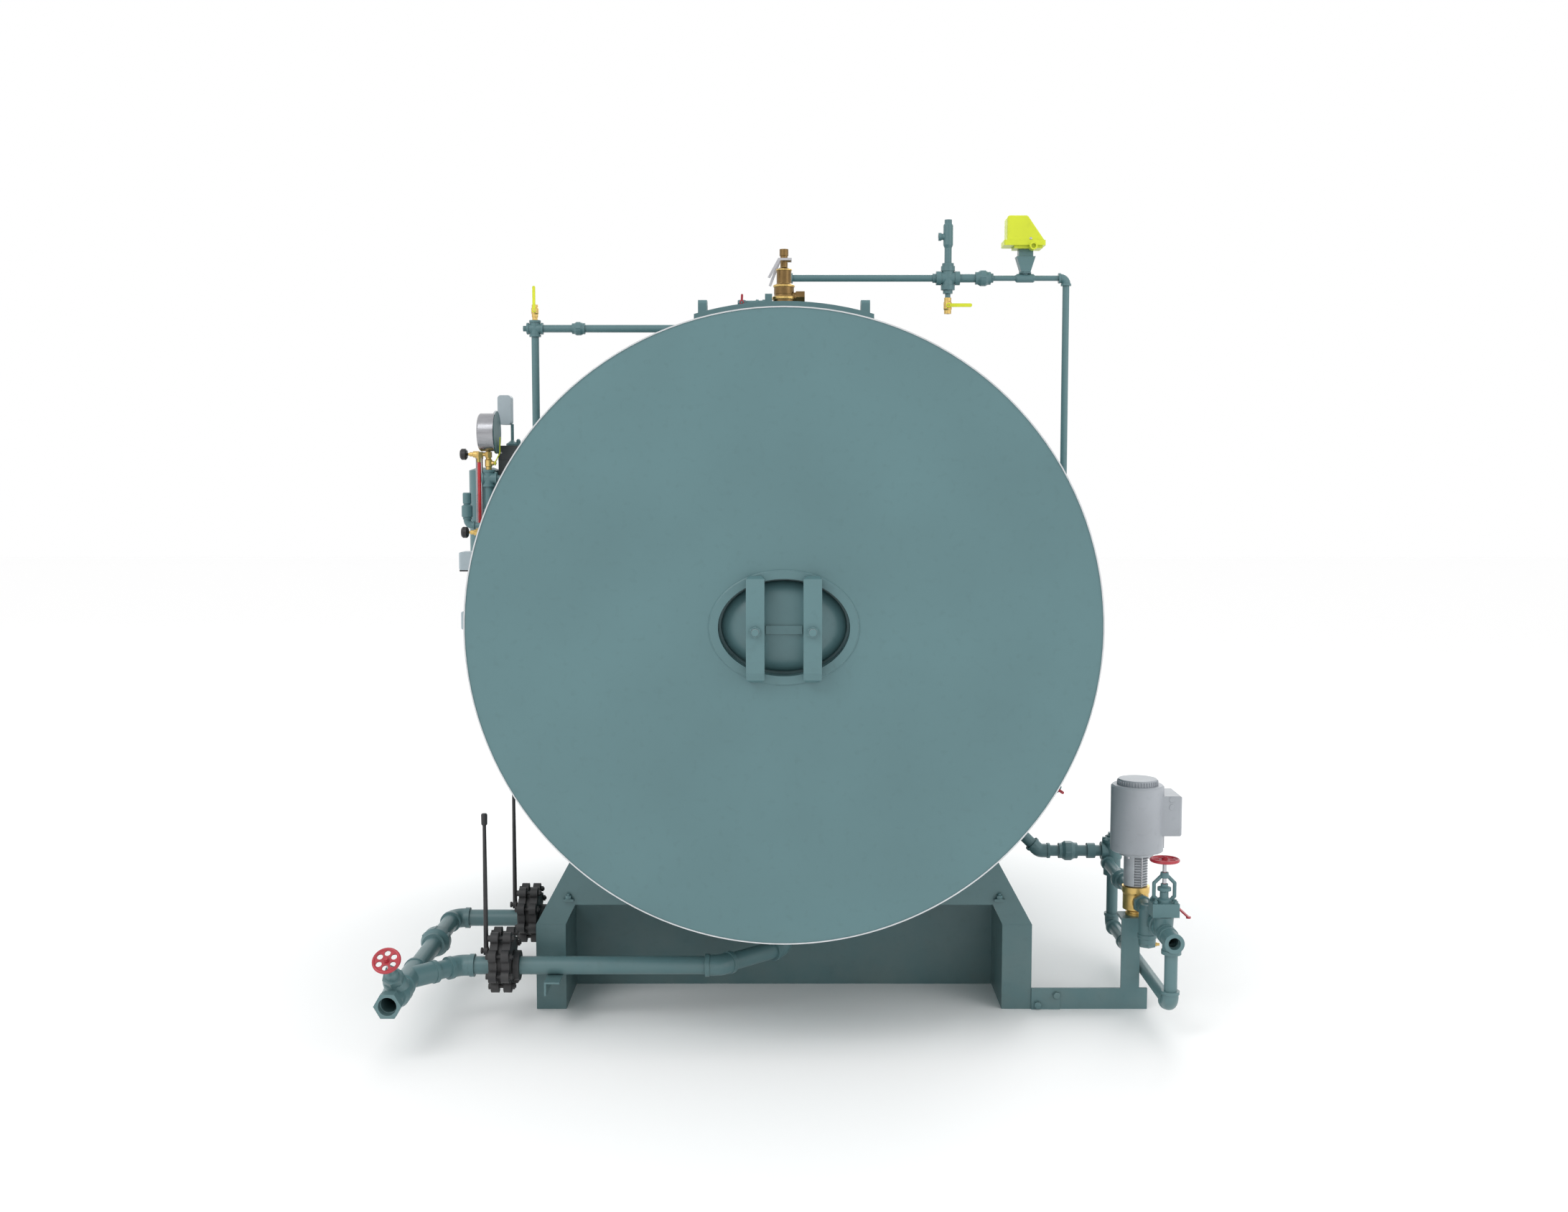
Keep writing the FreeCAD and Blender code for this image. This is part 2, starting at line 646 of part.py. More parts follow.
gate_wheel_c = gate_c + Z * 237
gate_wheel = handwheel(gate_wheel_c, Z, 49.0, 5.5, 10.0, 5, 92.0)
save(gate_wheel, "gate_handwheel")

# Ball valve and strainer between the gate valve and the pump.
strain = Run(pipe_1q, 30.0)
s_y = gate_y + 130
s_x = pump_x + 10
s0 = Vector(feed_x, gate_y + 48, inlet_z)
s1 = Vector(feed_x, s_y, inlet_z)
s2 = Vector(s_x, s_y, inlet_z + 20)
pump_front = Vector(s_x, pump_y - 47, inlet_z + 33)
strain.pipe([s0, s1])
strain.metal.append(turned([(0, 29), (10, 29), (14, 34), (44, 34), (48, 27), (80, 27)], s0, Y))
ball_c = Vector(feed_x, gate_y + 76, inlet_z)
strain.metal.append(turned([(20, 12), (58, 12), (58, 15), (66, 15), (66, 6), (84, 6)], ball_c, Z))
strain.metal.append(turned([(-78, 29), (-62, 29), (-60, 32), (-48, 32), (-46, 29), (40, 29),
                            (54, 23)], Vector(s_x, s_y, inlet_z), Z))
strain.metal.append(prism(6, 50, 13, Vector(s_x, s_y, inlet_z - 90), Z))
strain.metal.append(rod(Vector(s_x, s_y, inlet_z + 33), pump_front, 25))
strain.metal.append(prism(6, 58, 18, pump_front - Y * 24, Y))
strain.bore.append(rod(Vector(s_x, s_y, inlet_z + 33), pump_front + Y * 0.5, 17))
save(strain.body(), "strainer")


def flat_lever(pivot, axis, along, length, width, thick, hub_r, hole_r, dip=0.0):
    """Ball valve lever: a round hub with a flat handle that can dip past its middle."""
    u = unit(axis)
    v = unit(along)
    w = u.cross(v)
    mid = length * 0.55
    line = [(0, 0), (mid, 0), (length, -dip)]
    slabs = []
    for (s0_, d0), (s1_, d1) in zip(line[:-1], line[1:]):
        a = pivot + v * s0_ + u * d0
        b = pivot + v * s1_ + u * d1
        quad = [a - w * width / 2, a + w * width / 2, b + w * width / 2, b - w * width / 2]
        slabs.append(Part.Face(Part.makePolygon(quad + [quad[0]])).extrude(u * thick))
    end = pivot + v * length - u * dip
    slabs.append(rod(end, end + u * thick, width / 2))
    hub = rod(pivot - u * 1, pivot + u * (thick + 3), hub_r)
    lever = fuse(slabs + [hub])
    return lever.cut(rod(pivot - u * 20, pivot + u * (thick + 20), hole_r))


inlet_lever = flat_lever(ball_c + Z * 68, Z, Vector(0.94, -0.34, 0), 98, 16, 6, 11, 6.6, dip=38)
save(inlet_lever, "inlet_lever")

# ---- Pump on its stand ----------------------------------------------------------------
col_x0 = pump_x - 57
col_x1 = pump_x + 6
arm_y0 = pump_y - 52
arm_y1 = pump_y + 40
arm_x1 = pump_x + 34
stand_t = 10.0
stand = [box(base_half, arm_x1, arm_y0, arm_y0 + stand_t, 0, arm_h),
         box(base_half, arm_x1, arm_y0, arm_y1, 0, stand_t),
         box(col_x0, col_x1, arm_y0, arm_y0 + stand_t, 0, stand_h),
         box(col_x1 - stand_t, col_x1, arm_y0, arm_y1, 0, stand_h),
         box(col_x0, pump_x + 36, arm_y0, arm_y1, stand_h - stand_t, stand_h),
         box(base_half, base_half + 99, arm_y0 - 5, arm_y0, 0, arm_h + 2)]
save(fuse(stand), "pump_stand")

pump_c = Vector(pump_x, pump_y, stand_h)
pump_metal = [
    turned([(0, 34), (8, 34), (8, 28), (14, 28), (22, 44), (74, 44), (82, 47), (102, 47)], pump_c, Z),
    rod(Vector(s_x, pump_y, inlet_z + 33), pump_front, 30),
    rod(Vector(s_x, pump_y, inlet_z + 33), Vector(s_x, pump_y + 56, inlet_z + 33), 30)]
save(fuse(pump_metal), "pump_body")

lantern_z = stand_h + 102
lantern_h = 124.0
fins = []
fins.append(rod(Vector(pump_x, pump_y, lantern_z), Vector(pump_x, pump_y, lantern_z + lantern_h), 31))
for k in range(11):
    z = lantern_z + 4 + k * 9.2
    fins.append(rod(Vector(pump_x, pump_y, z), Vector(pump_x, pump_y, z + 3), 39))
fins.append(rod(Vector(pump_x, pump_y, lantern_z + lantern_h - 14),
                Vector(pump_x, pump_y, lantern_z + lantern_h), 58))
save(fuse(fins), "pump_lantern")

motor_z = lantern_z + lantern_h
motor_h = 230.0
motor = [turned([(0, 86), (3, 90), (motor_h - 6, 90), (motor_h, 85), (motor_h, 68),
                 (motor_h + 20, 65)], Vector(pump_x, pump_y, motor_z), Z)]
tb_x0 = pump_x + 69
tb_x1 = pump_x + 144
terminal = box(tb_x0, tb_x1, pump_y - 50, pump_y + 96, motor_z + 59, motor_z + 197)
outer = [e for e in terminal.Edges if e.BoundBox.XMin > tb_x0 + 1]
motor.append(terminal.makeFillet(9.0, outer))
motor.append(box(pump_x + 74, pump_x + 92, pump_y - 12, pump_y + 12, motor_z + 10, motor_z + 60))
save(fuse(motor), "pump_motor")

# Pump outlet: along the boiler to the check valve.
outlet = Run(pipe_1q, 30.0)
o0 = Vector(s_x, pump_y + 56, inlet_z + 33)
o_y = feed_back_y
o1 = Vector(s_x, o_y - 26, inlet_z + 33)
outlet.pipe([o0, o1])
outlet.hexagon(o0, Y, 58, 20)
outlet.union(Vector(s_x, -640, inlet_z + 33), Y, 26)
outlet.band(o1 - Y * 22, Y, 22, 6)
save(outlet.body([check_outer]), "pump_outlet")

# ---- Drain valve on the right side ----------------------------------------------------
side_y = -918.0
side_deg = -32.6
side_dir = radial(side_deg, 1.0, 0) - Vector(0, 0, axis_z)
drain = Run(pipe_34, 20.0)
drain.pipe([radial(side_deg, skin_r - 30, side_y), radial(side_deg, skin_r + 150, side_y)])
tap(drain, side_deg, side_y, 22)
ball_r = skin_r + 78
drain.metal.append(turned([(-34, 18), (-22, 18), (-16, 21), (16, 21), (22, 18), (34, 18)],
                          radial(side_deg, ball_r, side_y), side_dir))
stem_c = radial(side_deg, ball_r, side_y)
drain.metal.append(rod(stem_c - Y * 15, stem_c - Y * 30, 10))
drain.metal.append(rod(stem_c - Y * 30, stem_c - Y * 46, 5))
save(drain.body([shell_solid]), "side_drain")
drain_lever = flat_lever(stem_c - Y * 32, Y * -1, side_dir, 76, 10, 4, 9, 5.5, dip=-8)
save(drain_lever, "drain_lever")

# ---- Top cover and lifting lugs -------------------------------------------------------
cover_pad = Part.makeCylinder(cover_r, 2 * cover_half_len, Vector(0, -cover_half_len, axis_z), Y)
cover_pad = cover_pad.cut(shell_solid)
keep = box(-cover_half, cover_half, -cover_half_len, cover_half_len, axis_z, top_z + 200)
save(cover_pad.common(keep), "top_cover")

lugs = []
lug_top = top_z + 67.0
for sx in (-1, 1):
    for sy in (-1, 1):
        cx = sx * 268.0
        cy = sy * 1020.0
        lug = box(cx - 14.5, cx + 14.5, cy - 35, cy + 35, top_z - 40, lug_top)
        ends = [e for e in lug.Edges if abs(e.CenterOfMass.z - lug_top) < 1
                and abs(abs(e.CenterOfMass.y - cy) - 35) < 1]
        lug = lug.makeFillet(14, ends)
        lug = lug.cut(rod(Vector(cx - 30, cy, lug_top - 30), Vector(cx + 30, cy, lug_top - 30), 16))
        lugs.append(lug.cut(cover_solid))
save(Part.makeCompound(lugs), "lifting_lugs")

# ---- Safety valve ---------------------------------------------------------------------
sv = Vector(0, safety_y, axis_z)
base_s = cover_r
steps = [(base_s - 12, 30), (base_s + 6, 30), (base_s + 6, 37), (base_s + 42, 38), (base_s + 52, 33),
         (base_s + 56, 33), (base_s + 56, 34), (base_s + 82, 34), (base_s + 92, 25),
         (base_s + 138, 25), (base_s + 146, 12.5), (base_s + 184, 12.5), (base_s + 184, 15),
         (base_s + 206, 15)]
valve = [turned(steps, sv, Z)]
ear_x = 19.0
ear_z = base_s + 170
ear = rod(sv + X * ear_x + Z * ear_z - Y * 4, sv + X * ear_x + Z * ear_z + Y * 4, 6)
ear = ear.fuse(box(0, ear_x, safety_y - 4, safety_y + 4, axis_z + ear_z - 6, axis_z + ear_z + 6))
valve.append(ear)
out_z = base_s + 45
valve.append(rod(sv + Z * out_z, sv + Z * out_z + X * 44, 18))
valve.append(prism(6, 40, 30, sv + Z * out_z + X * 40, X))
safety = fuse(valve).cut(rod(sv + Z * out_z + X * (70 - socket_34[1]), sv + Z * out_z + X * 80, socket_34[0]))
safety = safety.cut(rod(sv + X * ear_x + Z * ear_z - Y * 9, sv + X * ear_x + Z * ear_z + Y * 9, 2.9))
save(safety.cut(cover_solid), "safety_valve")

# Lift lever: a fork around the neck of the safety valve, hinged at its right side.
lift_z = axis_z + base_s + 166
yoke_half = 26.0
lift = []
for s in (-1, 1):
    y = safety_y + s * yoke_half
    tip = Vector(-52, 0, -86) if s > 0 else Vector(-55, 0, -64)
    pts = [(26, 0), (-20, 0), (tip.x, tip.z), (tip.x + 8, tip.z - 3), (-12, -8), (26, -8)]
    poly = [Vector(x, y - 2.0, lift_z + 8 + z) for x, z in pts]
    lift.append(Part.Face(Part.makePolygon(poly + [poly[0]])).extrude(Y * 4))
lift.append(rod(Vector(ear_x, safety_y - yoke_half - 2, lift_z + 4),
                Vector(ear_x, safety_y + yoke_half + 2, lift_z + 4), 2.5))
save(fuse(lift), "lift_lever")

# ---- Vent fittings beside the safety valve ------------------------------------------------
vent_y = -905.0
vent = Run(pipe_38, 12.0)
vent_x = -52.0
vent_z = top_z + 71
vent.pipe([Vector(vent_x, vent_y, top_z - 20), Vector(vent_x, vent_y, vent_z), Vector(-128, vent_y, vent_z)])
vent.metal.append(box(vent_x - 12, vent_x + 12, vent_y - 12, vent_y + 12, top_z + 50, top_z + 101))
vent.metal.append(turned([(0, 9), (2, 12), (10, 12), (12, 9), (22, 9), (24, 12), (32, 12)],
                         Vector(-96, vent_y, vent_z), X))
vent.metal.append(turned([(0, 9), (5, 11), (23, 11), (28, 9)], Vector(-156, vent_y, vent_z), X))
vent.bore.append(rod(Vector(-160, vent_y, vent_z), Vector(-120, vent_y, vent_z), pipe_38[1]))
vent_c = Vector(-142, vent_y, vent_z)
vent.metal.append(rod(vent_c - Y * 9, vent_c - Y * 20, 7))
vent.metal.append(rod(vent_c - Y * 20, vent_c - Y * 30, 3.5))
save(vent.body([cover_solid]), "vent_fittings")
vent_lever = flat_lever(vent_c - Y * 22, Y * -1, Vector(0.05, 0, 1), 24, 8, 3, 7.5, 4.0)
save(vent_lever, "vent_lever")

# ---- Steam line on the right, with its relief stack and flow switch ------------------------
right = Run(pipe_34, 24.0)
r0 = Vector(0, right_y, top_z - 20)
r1 = Vector(0, right_y, right_z)
r2 = Vector(union_x, right_y, right_z)
right.pipe([r0, r1, r2])
right.elbow(r1, Z * -1, X, 34, wall=4, band=8)
xc = Vector(cross_x, right_y, right_z)
cross_reach = 46.0
right.branch(xc, [X, X * -1, Z, Z * -1], cross_reach, wall=11, band=19)
right.bore.append(rod(xc, xc + Z * (cross_reach + 0.5), pipe_34[1]))
right.metal.append(turned([(40, 19), (60, 19), (60, 10.65), (76, 10.65)], xc, Z * -1))
right.bore.append(rod(xc, xc - Z * 76.5, pipe_12[1]))
right.metal.append(rod(xc - X * 40, xc - X * 60, 18))
right.metal.append(rod(xc + X * 40, Vector(union_x - 20, right_y, right_z), 16.5))
right.union(Vector(union_x - 2, right_y, right_z), X, 22)
right.hexagon(Vector(union_x + 27, right_y, right_z), X, 34, 11)
r3 = Vector(right_drop_x, right_y, right_z)
return_z = axis_z + 140
r4 = Vector(right_drop_x, right_y, return_z)
r5 = Vector(skin_r - 60, right_y, return_z)
right.pipe([Vector(union_x - 2, right_y, right_z), Vector(switch_x, right_y, right_z)], pipe_12)
right.pipe([Vector(switch_x, right_y, right_z), Vector(right_drop_x - 26, right_y, right_z)], pipe_12)
right.pipe([Vector(right_drop_x - 28, right_y, right_z), r3, r4, r5])
right.elbow(r3, X * -1, Z * -1, 30, wall=4, band=8)
right.elbow(r4, Z, X * -1, 32, wall=4, band=8)
right.metal.append(rod(r5, Vector(skin_r + 24, right_y, return_z), 22))
right.metal.append(turned([(-38, 12), (-32, 17), (32, 17), (38, 12)], Vector(switch_x, right_y, right_z), X))
save(right.body([cover_solid.common(keep), shell_solid]), "steam_line_right")

stack = [turned([(cross_reach, 23), (57, 23), (57, 14), (116, 14), (128, 19), (204, 19), (211, 14.5),
                 (225, 14.5)], xc, Z)]
port = xc + Z * 160
stack.append(rod(port, port - X * 27, 12.5))
stack.append(rod(port - X * 27, port - X * 38, 15.5))
stack_bore = rod(port - X * 39, port, 9)
save(fuse(stack).cut(stack_bore), "relief_stack")


def ball_valve(p, d, stem, r, length):
    """Small brass ball valve from p along d, with its stem to the side."""
    u = unit(d)
    w = unit(stem)
    solid = turned([(0, r), (length * 0.22, r), (length * 0.3, r * 1.16), (length * 0.7, r * 1.16),
                    (length * 0.78, r), (length, r)], p, u)
    c = p + u * (length / 2)
    solid = fuse([solid, rod(c + w * (r * 0.9), c + w * (r * 1.16 + 7), r * 0.5),
                  rod(c, c + w * (r * 1.16 + 16), 4)])
    return solid.cut(rod(p - u, p + u * (length + 1), r * 0.55))


# Brass bleed valve under the cross.
bleed_p = xc - Z * 76
right_valve = ball_valve(bleed_p, Z * -1, Y * -1, 14.0, 62.0)
bleed_c = bleed_p - Z * 31 - Y * (14 * 1.16 + 9)
save(flat_lever(bleed_c, Y * -1, X, 86, 14, 3.5, 9, 4.5), "bleed_lever_right")

# Flow switch: cast bracket on the line, and the cover that sits on it.
sw = Vector(switch_x, right_y, right_z)
switch_rise = 110.0
wedge = [(-18, 22), (18, 22), (37, 82), (-37, 82)]
wp = [Vector(switch_x + x, right_y - 26, right_z + z) for x, z in wedge]
wedge_solid = Part.Face(Part.makePolygon(wp + [wp[0]])).extrude(Y * 52)
neck = box(switch_x - 28, switch_x + 28, right_y - 22, right_y + 22, right_z + 82, right_z + switch_rise)
foot_ring = turned([(17, 24), (24, 24)], sw, Z)
save(fuse([wedge_solid, neck, foot_ring, rod(sw + Z * 12, sw + Z * 24, 14)])
     .cut(rod(sw - X * 30, sw + X * 30, 17.2)), "switch_bracket")

sw_z = right_z + switch_rise
hood_low = sw_z + 30
pan = box(switch_x - 50, switch_x + 60, right_y - 48, right_y + 32, sw_z, sw_z + 12)
rim = box(switch_x - 90, switch_x + 71, right_y - 60, right_y + 42, sw_z + 10, hood_low)
rim = rim.makeFillet(8.0, [e for e in rim.Edges if e.BoundBox.ZLength > 15])
hood_pts = [(-78, 30), (67, 30), (1, 125), (-78, 125)]
hp = [Vector(switch_x + x, right_y - 54, sw_z + z) for x, z in hood_pts]
hood = Part.Face(Part.makePolygon(hp + [hp[0]])).extrude(Y * 90)
across = [e for e in hood.Edges if e.BoundBox.YLength > 1 and e.BoundBox.ZMax > hood_low + 1]
hood = hood.makeFillet(11.0, across)
around = [e for e in hood.Edges if e.BoundBox.YLength < 0.1 and e.BoundBox.ZMax > hood_low + 1]
hood = hood.makeFillet(6.0, around)
hub_c = Vector(switch_x + 21, right_y, sw_z + 5)
hub = rod(hub_c - Y * 40, hub_c - Y * 80, 15)
tray = fuse([pan, rim, hood, hub])
tray = tray.cut(rod(hub_c - Y * 81, hub_c - Y * 66, 9))
save(tray, "switch_cover")

# ---- Steam line on the left, down to the water column --------------------------------------
left = Run(pipe_1, 26.0)
a0 = Vector(-150, left_y, top_z - 60)
a1 = Vector(-150, left_y, left_z)
a2 = Vector(left_drop_x, left_y, left_z)
run_z = side_z + 280
a3 = Vector(left_drop_x, left_y, run_z)
a4 = Vector(left_drop_x, riser_y, run_z)
a5 = Vector(riser_x, riser_y, run_z)
a6 = Vector(riser_x, riser_y, cross_z)
left.pipe([a0, a1, a2])
left.pipe([a2, a3, a4, a5, a6])
left.elbow(a1, Z * -1, X * -1, 38, wall=4, band=9)
left.elbow(a3, Z, Y * -1, 38, wall=4, band=9)
left.elbow(a4, Y, X * -1, 38, wall=4, band=9)
left.elbow(a5, X, Z, 38, wall=4, band=9)
left.branch(a2, [X, X * -1, Z, Z * -1], 36, wall=6, band=10)
left.bore.append(rod(a2, a2 + Z * 36.5, pipe_1[1]))
left.hexagon(a2 - X * 52, X, 24, 16)
left.union(Vector(-(jacket_r - 75), left_y, left_z), X, 21)
left.branch(a6, [X, Z, Z * -1], 34, wall=6, band=9)
left.branch(a6, [X * -1], 27, wall=6, band=9)
left.hexagon(a6 + X * 34, X, 24, 12)
left.bore.append(rod(a6, a6 + Z * 34.5, 8))
left.metal.append(rod(a6, Vector(riser_x, col_y, cross_z), 13))
save(left.body([cover_solid.common(keep),
                rod(Vector(col_x, col_y, 0), Vector(col_x, col_y, 4000), col_r)]), "steam_line_left")

bleed_l = a2 + Z * 36
nip = rod(bleed_l, bleed_l + Z * 14, 12).cut(rod(bleed_l - Z, bleed_l + Z * 15, 7))
left_valve = ball_valve(bleed_l + Z * 14, Z, Y * -1, 14.0, 54.0)
save(Part.makeCompound([right_valve, fuse([nip, left_valve])]), "bleed_valves")
left_c = bleed_l + Z * 41 - Y * (14 * 1.16 + 9)
save(flat_lever(left_c, Y * -1, Z, 100, 13, 3.5, 9, 4.5), "bleed_lever_left")

# ---- Water column with its low-water control ----------------------------------------------
column = Run(pipe_1, 26.0)
col_top = side_z + 485
col_low = side_z + 100
cc = Vector(col_x, col_y, col_low)
column.metal.append(turned([(0, 30), (12, col_r), (col_top - col_low - 12, col_r),
                            (col_top - col_low, 34)], cc, Z))
b1 = Vector(col_x, col_y, side_z - 50)
b2 = Vector(-(skin_r - 60), col_y, side_z - 50)
column.pipe([cc + Z * 20, b1, b2])
column.elbow(b1, Z, X, 38, wall=4, band=9)
column.metal.append(rod(b2, Vector(-(skin_r + 26), col_y, side_z - 50), 26))
# Side branch with the test cock that stands beside the glass.
cock_x = -(jacket_r + 300.0)
cock_y = 120.0
cock_z = side_z + 251
save(column.body([shell_solid]), "water_column")

cock = Run(pipe_12, 22.0)
k0 = Vector(-(skin_r - 60), cock_y, cock_z)
k1 = Vector(cock_x, cock_y, cock_z)
k2 = Vector(cock_x, cock_y, cock_z + 34)
cock.pipe([k0, k1, k2])
cock.elbow(k1, X, Z, 30, wall=4, band=6)
cock.metal.append(rod(k0, Vector(-(skin_r + 20), cock_y, cock_z), 19))
cock.metal.append(turned([(30, 16), (36, 22), (78, 22), (84, 14), (88, 14), (88, 17), (128, 17),
                          (132, 14)], k1, Z))
save(cock.body([shell_solid]), "test_cock")

control_x0 = -(jacket_r + 200)
control_x1 = -(jacket_r + 117)
control = box(control_x0, control_x1, col_y - 55, col_y + 55, side_z + 330, side_z + 575)
bridge = [rod(Vector(control_x0 + 5, col_y, side_z + h), Vector(col_x, col_y, side_z + h), 18)
          for h in (380, 440)]
control = fuse([control] + bridge)
control = control.cut(rod(Vector(col_x, col_y, 0), Vector(col_x, col_y, 4000), col_r))
save(control, "control_housing")

head_x = -(jacket_r + 177.5)
stem_base = Vector(-(jacket_r + 150), col_y, side_z + 575)
head_parts = [turned([(0, 26), (8, 26), (20, 9), (24, 6.5), (90, 6.5)], stem_base, Z)]
head_parts.append(turned([(0, 9), (22, 9), (28, 5)], stem_base + X * 25, Z))
save(fuse(head_parts), "switch_stem")
head_box = box(head_x - 27.5, head_x + 27.5, col_y - 30, col_y + 30, side_z + 662, side_z + 783)
head_box = head_box.makeFillet(14, [e for e in head_box.Edges if abs(e.Vertexes[0].Z - e.Vertexes[1].Z) < 1
                                   and abs(e.Vertexes[0].X - e.Vertexes[1].X) < 1])
head_box = head_box.cut(rod(stem_base, stem_base + Z * 90, 6.5))
save(head_box, "switch_head")

# Brass riser above the cross: gauge cock, and the upper arm of the gauge glass.
riser = Vector(riser_x, riser_y, cross_z)
gauge_low = gauge_z - 78
brass = [turned([(34, 12), (46, 12), (48, 15), (74, 15), (78, 11), (gauge_low - cross_z + 1, 9)], riser, Z)]
arm_z = glass_top_z
brass.append(prism(6, 26, 23, Vector(riser_x, riser_y, arm_z - 13), Z))
brass.append(rod(Vector(riser_x, riser_y, arm_z), Vector(glass_x, riser_y, arm_z), 8))
cock_c = riser + Z * 61
brass.append(rod(cock_c, cock_c + X * 22, 9))
brass.append(rod(cock_c, cock_c + X * 32, 4))
glass_r = 8.0


def glass_valve(z, up):
    """Gauge valve body with its packing nut and stem towards -X."""
    c = Vector(glass_x, riser_y, z)
    parts = [prism(6, 30, 28, c - up * 18, up)]
    parts.append(turned([(0, 13), (24, 13), (26, 9), (38, 9), (38, 5.5), (44, 5.5)], c, X * -1))
    nut = prism(6, 25, 14, c - up * 32, up)
    parts.append(nut)
    return parts


brass += glass_valve(arm_z, Z)
upper = fuse(brass)
upper = upper.cut(rod(Vector(glass_x, riser_y, arm_z - 40), Vector(glass_x, riser_y, arm_z - 10), glass_r))
low_parts = glass_valve(glass_low_z, Z * -1)
low_parts.append(rod(Vector(glass_x, riser_y, glass_low_z), Vector(glass_x, col_y - 20, glass_low_z), 8))
lower_valve = fuse(low_parts)
lower_valve = lower_valve.cut(rod(Vector(glass_x, riser_y, glass_low_z + 10),
                                  Vector(glass_x, riser_y, glass_low_z + 40), glass_r))
lower_valve = lower_valve.cut(rod(Vector(col_x, col_y, 0), Vector(col_x, col_y, 4000), col_r))
save(Part.makeCompound([upper, lower_valve]), "gauge_valves")

glass = rod(Vector(glass_x, riser_y, glass_low_z + 10), Vector(glass_x, riser_y, arm_z - 10), glass_r)
save(glass, "gauge_glass")

for name, z in (("knob_upper", arm_z), ("knob_lower", glass_low_z)):
    k = Vector(glass_x - 44.4, riser_y, z)
    knob = turned([(0, 5), (4, 5), (4, 16), (10, 23), (26, 23), (32, 17)], k, X * -1)
    save(knob, name)

cock_lever = [rod(cock_c + X * 25, cock_c + X * 29, 9)]
pts = [cock_c + X * 27 + Z * 4, cock_c + X * 46 + Z * 40, cock_c + X * 48 + Z * 104]
for p, q in zip(pts[:-1], pts[1:]):
    d = unit(q - p)
    n = d.cross(Y)
    quad = [p - Y * 6 - n * 1.6, p + Y * 6 - n * 1.6, q + Y * 6 - n * 1.6, q - Y * 6 - n * 1.6]
    cock_lever.append(Part.Face(Part.makePolygon(quad + [quad[0]])).extrude(n * 3.2))
    cock_lever.append(rod(q - Y * 6, q + Y * 6, 1.6))
cock_lever = fuse(cock_lever).cut(rod(cock_c, cock_c + X * 40, 4.5))
save(cock_lever, "gauge_cock_lever")

gauge_c = Vector(riser_x, riser_y, gauge_z)
dial = turned([(-32, 84), (-29, 87), (-26, 87), (-26, 77), (33, 77), (36, 74)], gauge_c + X * 4, X * -1)
save(dial.cut(rod(riser, riser + Z * (gauge_low - cross_z + 1), 9)), "pressure_gauge")

# ---- Two small control boxes low on the left side ------------------------------------------
box_y = -718.0
boxes = []
for x1, z0, z1 in ((-(jacket_r + 160), side_z + 121, side_z + 184), (-(jacket_r + 156), side_z - 88, side_z - 25)):
    zc = (z0 + z1) / 2
    b = box(x1, x1 + 104, box_y - 45, box_y + 45, z0, z1)
    b = b.makeFillet(8, [e for e in b.Edges if abs(e.Vertexes[0].X - x1) < 1 and abs(e.Vertexes[1].X - x1) < 1])
    stalk = rod(Vector(x1 + 100, box_y, zc), Vector(-(skin_r - 60), box_y, zc), 12)
    flange = rod(Vector(-(skin_r + 12), box_y, zc), Vector(-(skin_r - 60), box_y, zc), 24)
    boxes.append(fuse([b, stalk, flange]).cut(shell_solid))
save(Part.makeCompound(boxes), "side_boxes")
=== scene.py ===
# %% [markdown]
# # An industrial boiler
# A steam boiler for a plant room is a long steel drum that lies on a welded base.
# Pipes, valves, a pump and gauges are hung round it. The CAD frame already holds every
# piece with a real size. This lesson gives those pieces their finish and adds the small
# things that a fitter would see: bolts, welds, threads, guard rods, a dial.

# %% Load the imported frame
import json
import math

import bpy
from mathutils import Matrix, Vector


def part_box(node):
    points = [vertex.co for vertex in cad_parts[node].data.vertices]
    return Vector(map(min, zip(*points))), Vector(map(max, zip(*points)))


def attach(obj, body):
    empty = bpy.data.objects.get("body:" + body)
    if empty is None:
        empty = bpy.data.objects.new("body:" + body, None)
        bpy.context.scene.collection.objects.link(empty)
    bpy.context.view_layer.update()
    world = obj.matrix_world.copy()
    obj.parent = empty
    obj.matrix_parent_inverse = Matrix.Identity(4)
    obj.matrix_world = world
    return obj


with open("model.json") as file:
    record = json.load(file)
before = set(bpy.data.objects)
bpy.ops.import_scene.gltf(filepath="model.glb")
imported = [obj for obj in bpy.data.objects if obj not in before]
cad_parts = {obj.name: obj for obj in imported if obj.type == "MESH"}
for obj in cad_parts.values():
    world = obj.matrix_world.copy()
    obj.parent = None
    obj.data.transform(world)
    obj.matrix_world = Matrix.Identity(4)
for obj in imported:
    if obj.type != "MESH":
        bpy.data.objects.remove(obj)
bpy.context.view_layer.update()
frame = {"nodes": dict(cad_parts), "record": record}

nodes = frame["nodes"]

# %% [markdown]
# ## Looking through the right lens
# A camera at head height, straight in front of the drum, looks down by a few degrees.
# The lens is a mild wide angle. Placing it first means that every later test picture
# can be judged from the same spot.

# %% Camera
LENS_MM = 37.1
SENSOR_MM = 36.0
CAMERA_PLACE = (0.0, -6.418, 1.830)
CAMERA_TILT = 85.4
camera_data = bpy.data.cameras.new("camera")
camera_data.lens = LENS_MM
camera_data.sensor_width = SENSOR_MM
camera = bpy.data.objects.new("camera", camera_data)
camera.location = CAMERA_PLACE
camera.rotation_euler = (math.radians(CAMERA_TILT), 0.0, 0.0)
bpy.context.collection.objects.link(camera)
bpy.context.scene.camera = camera
print("camera at", tuple(camera.location))

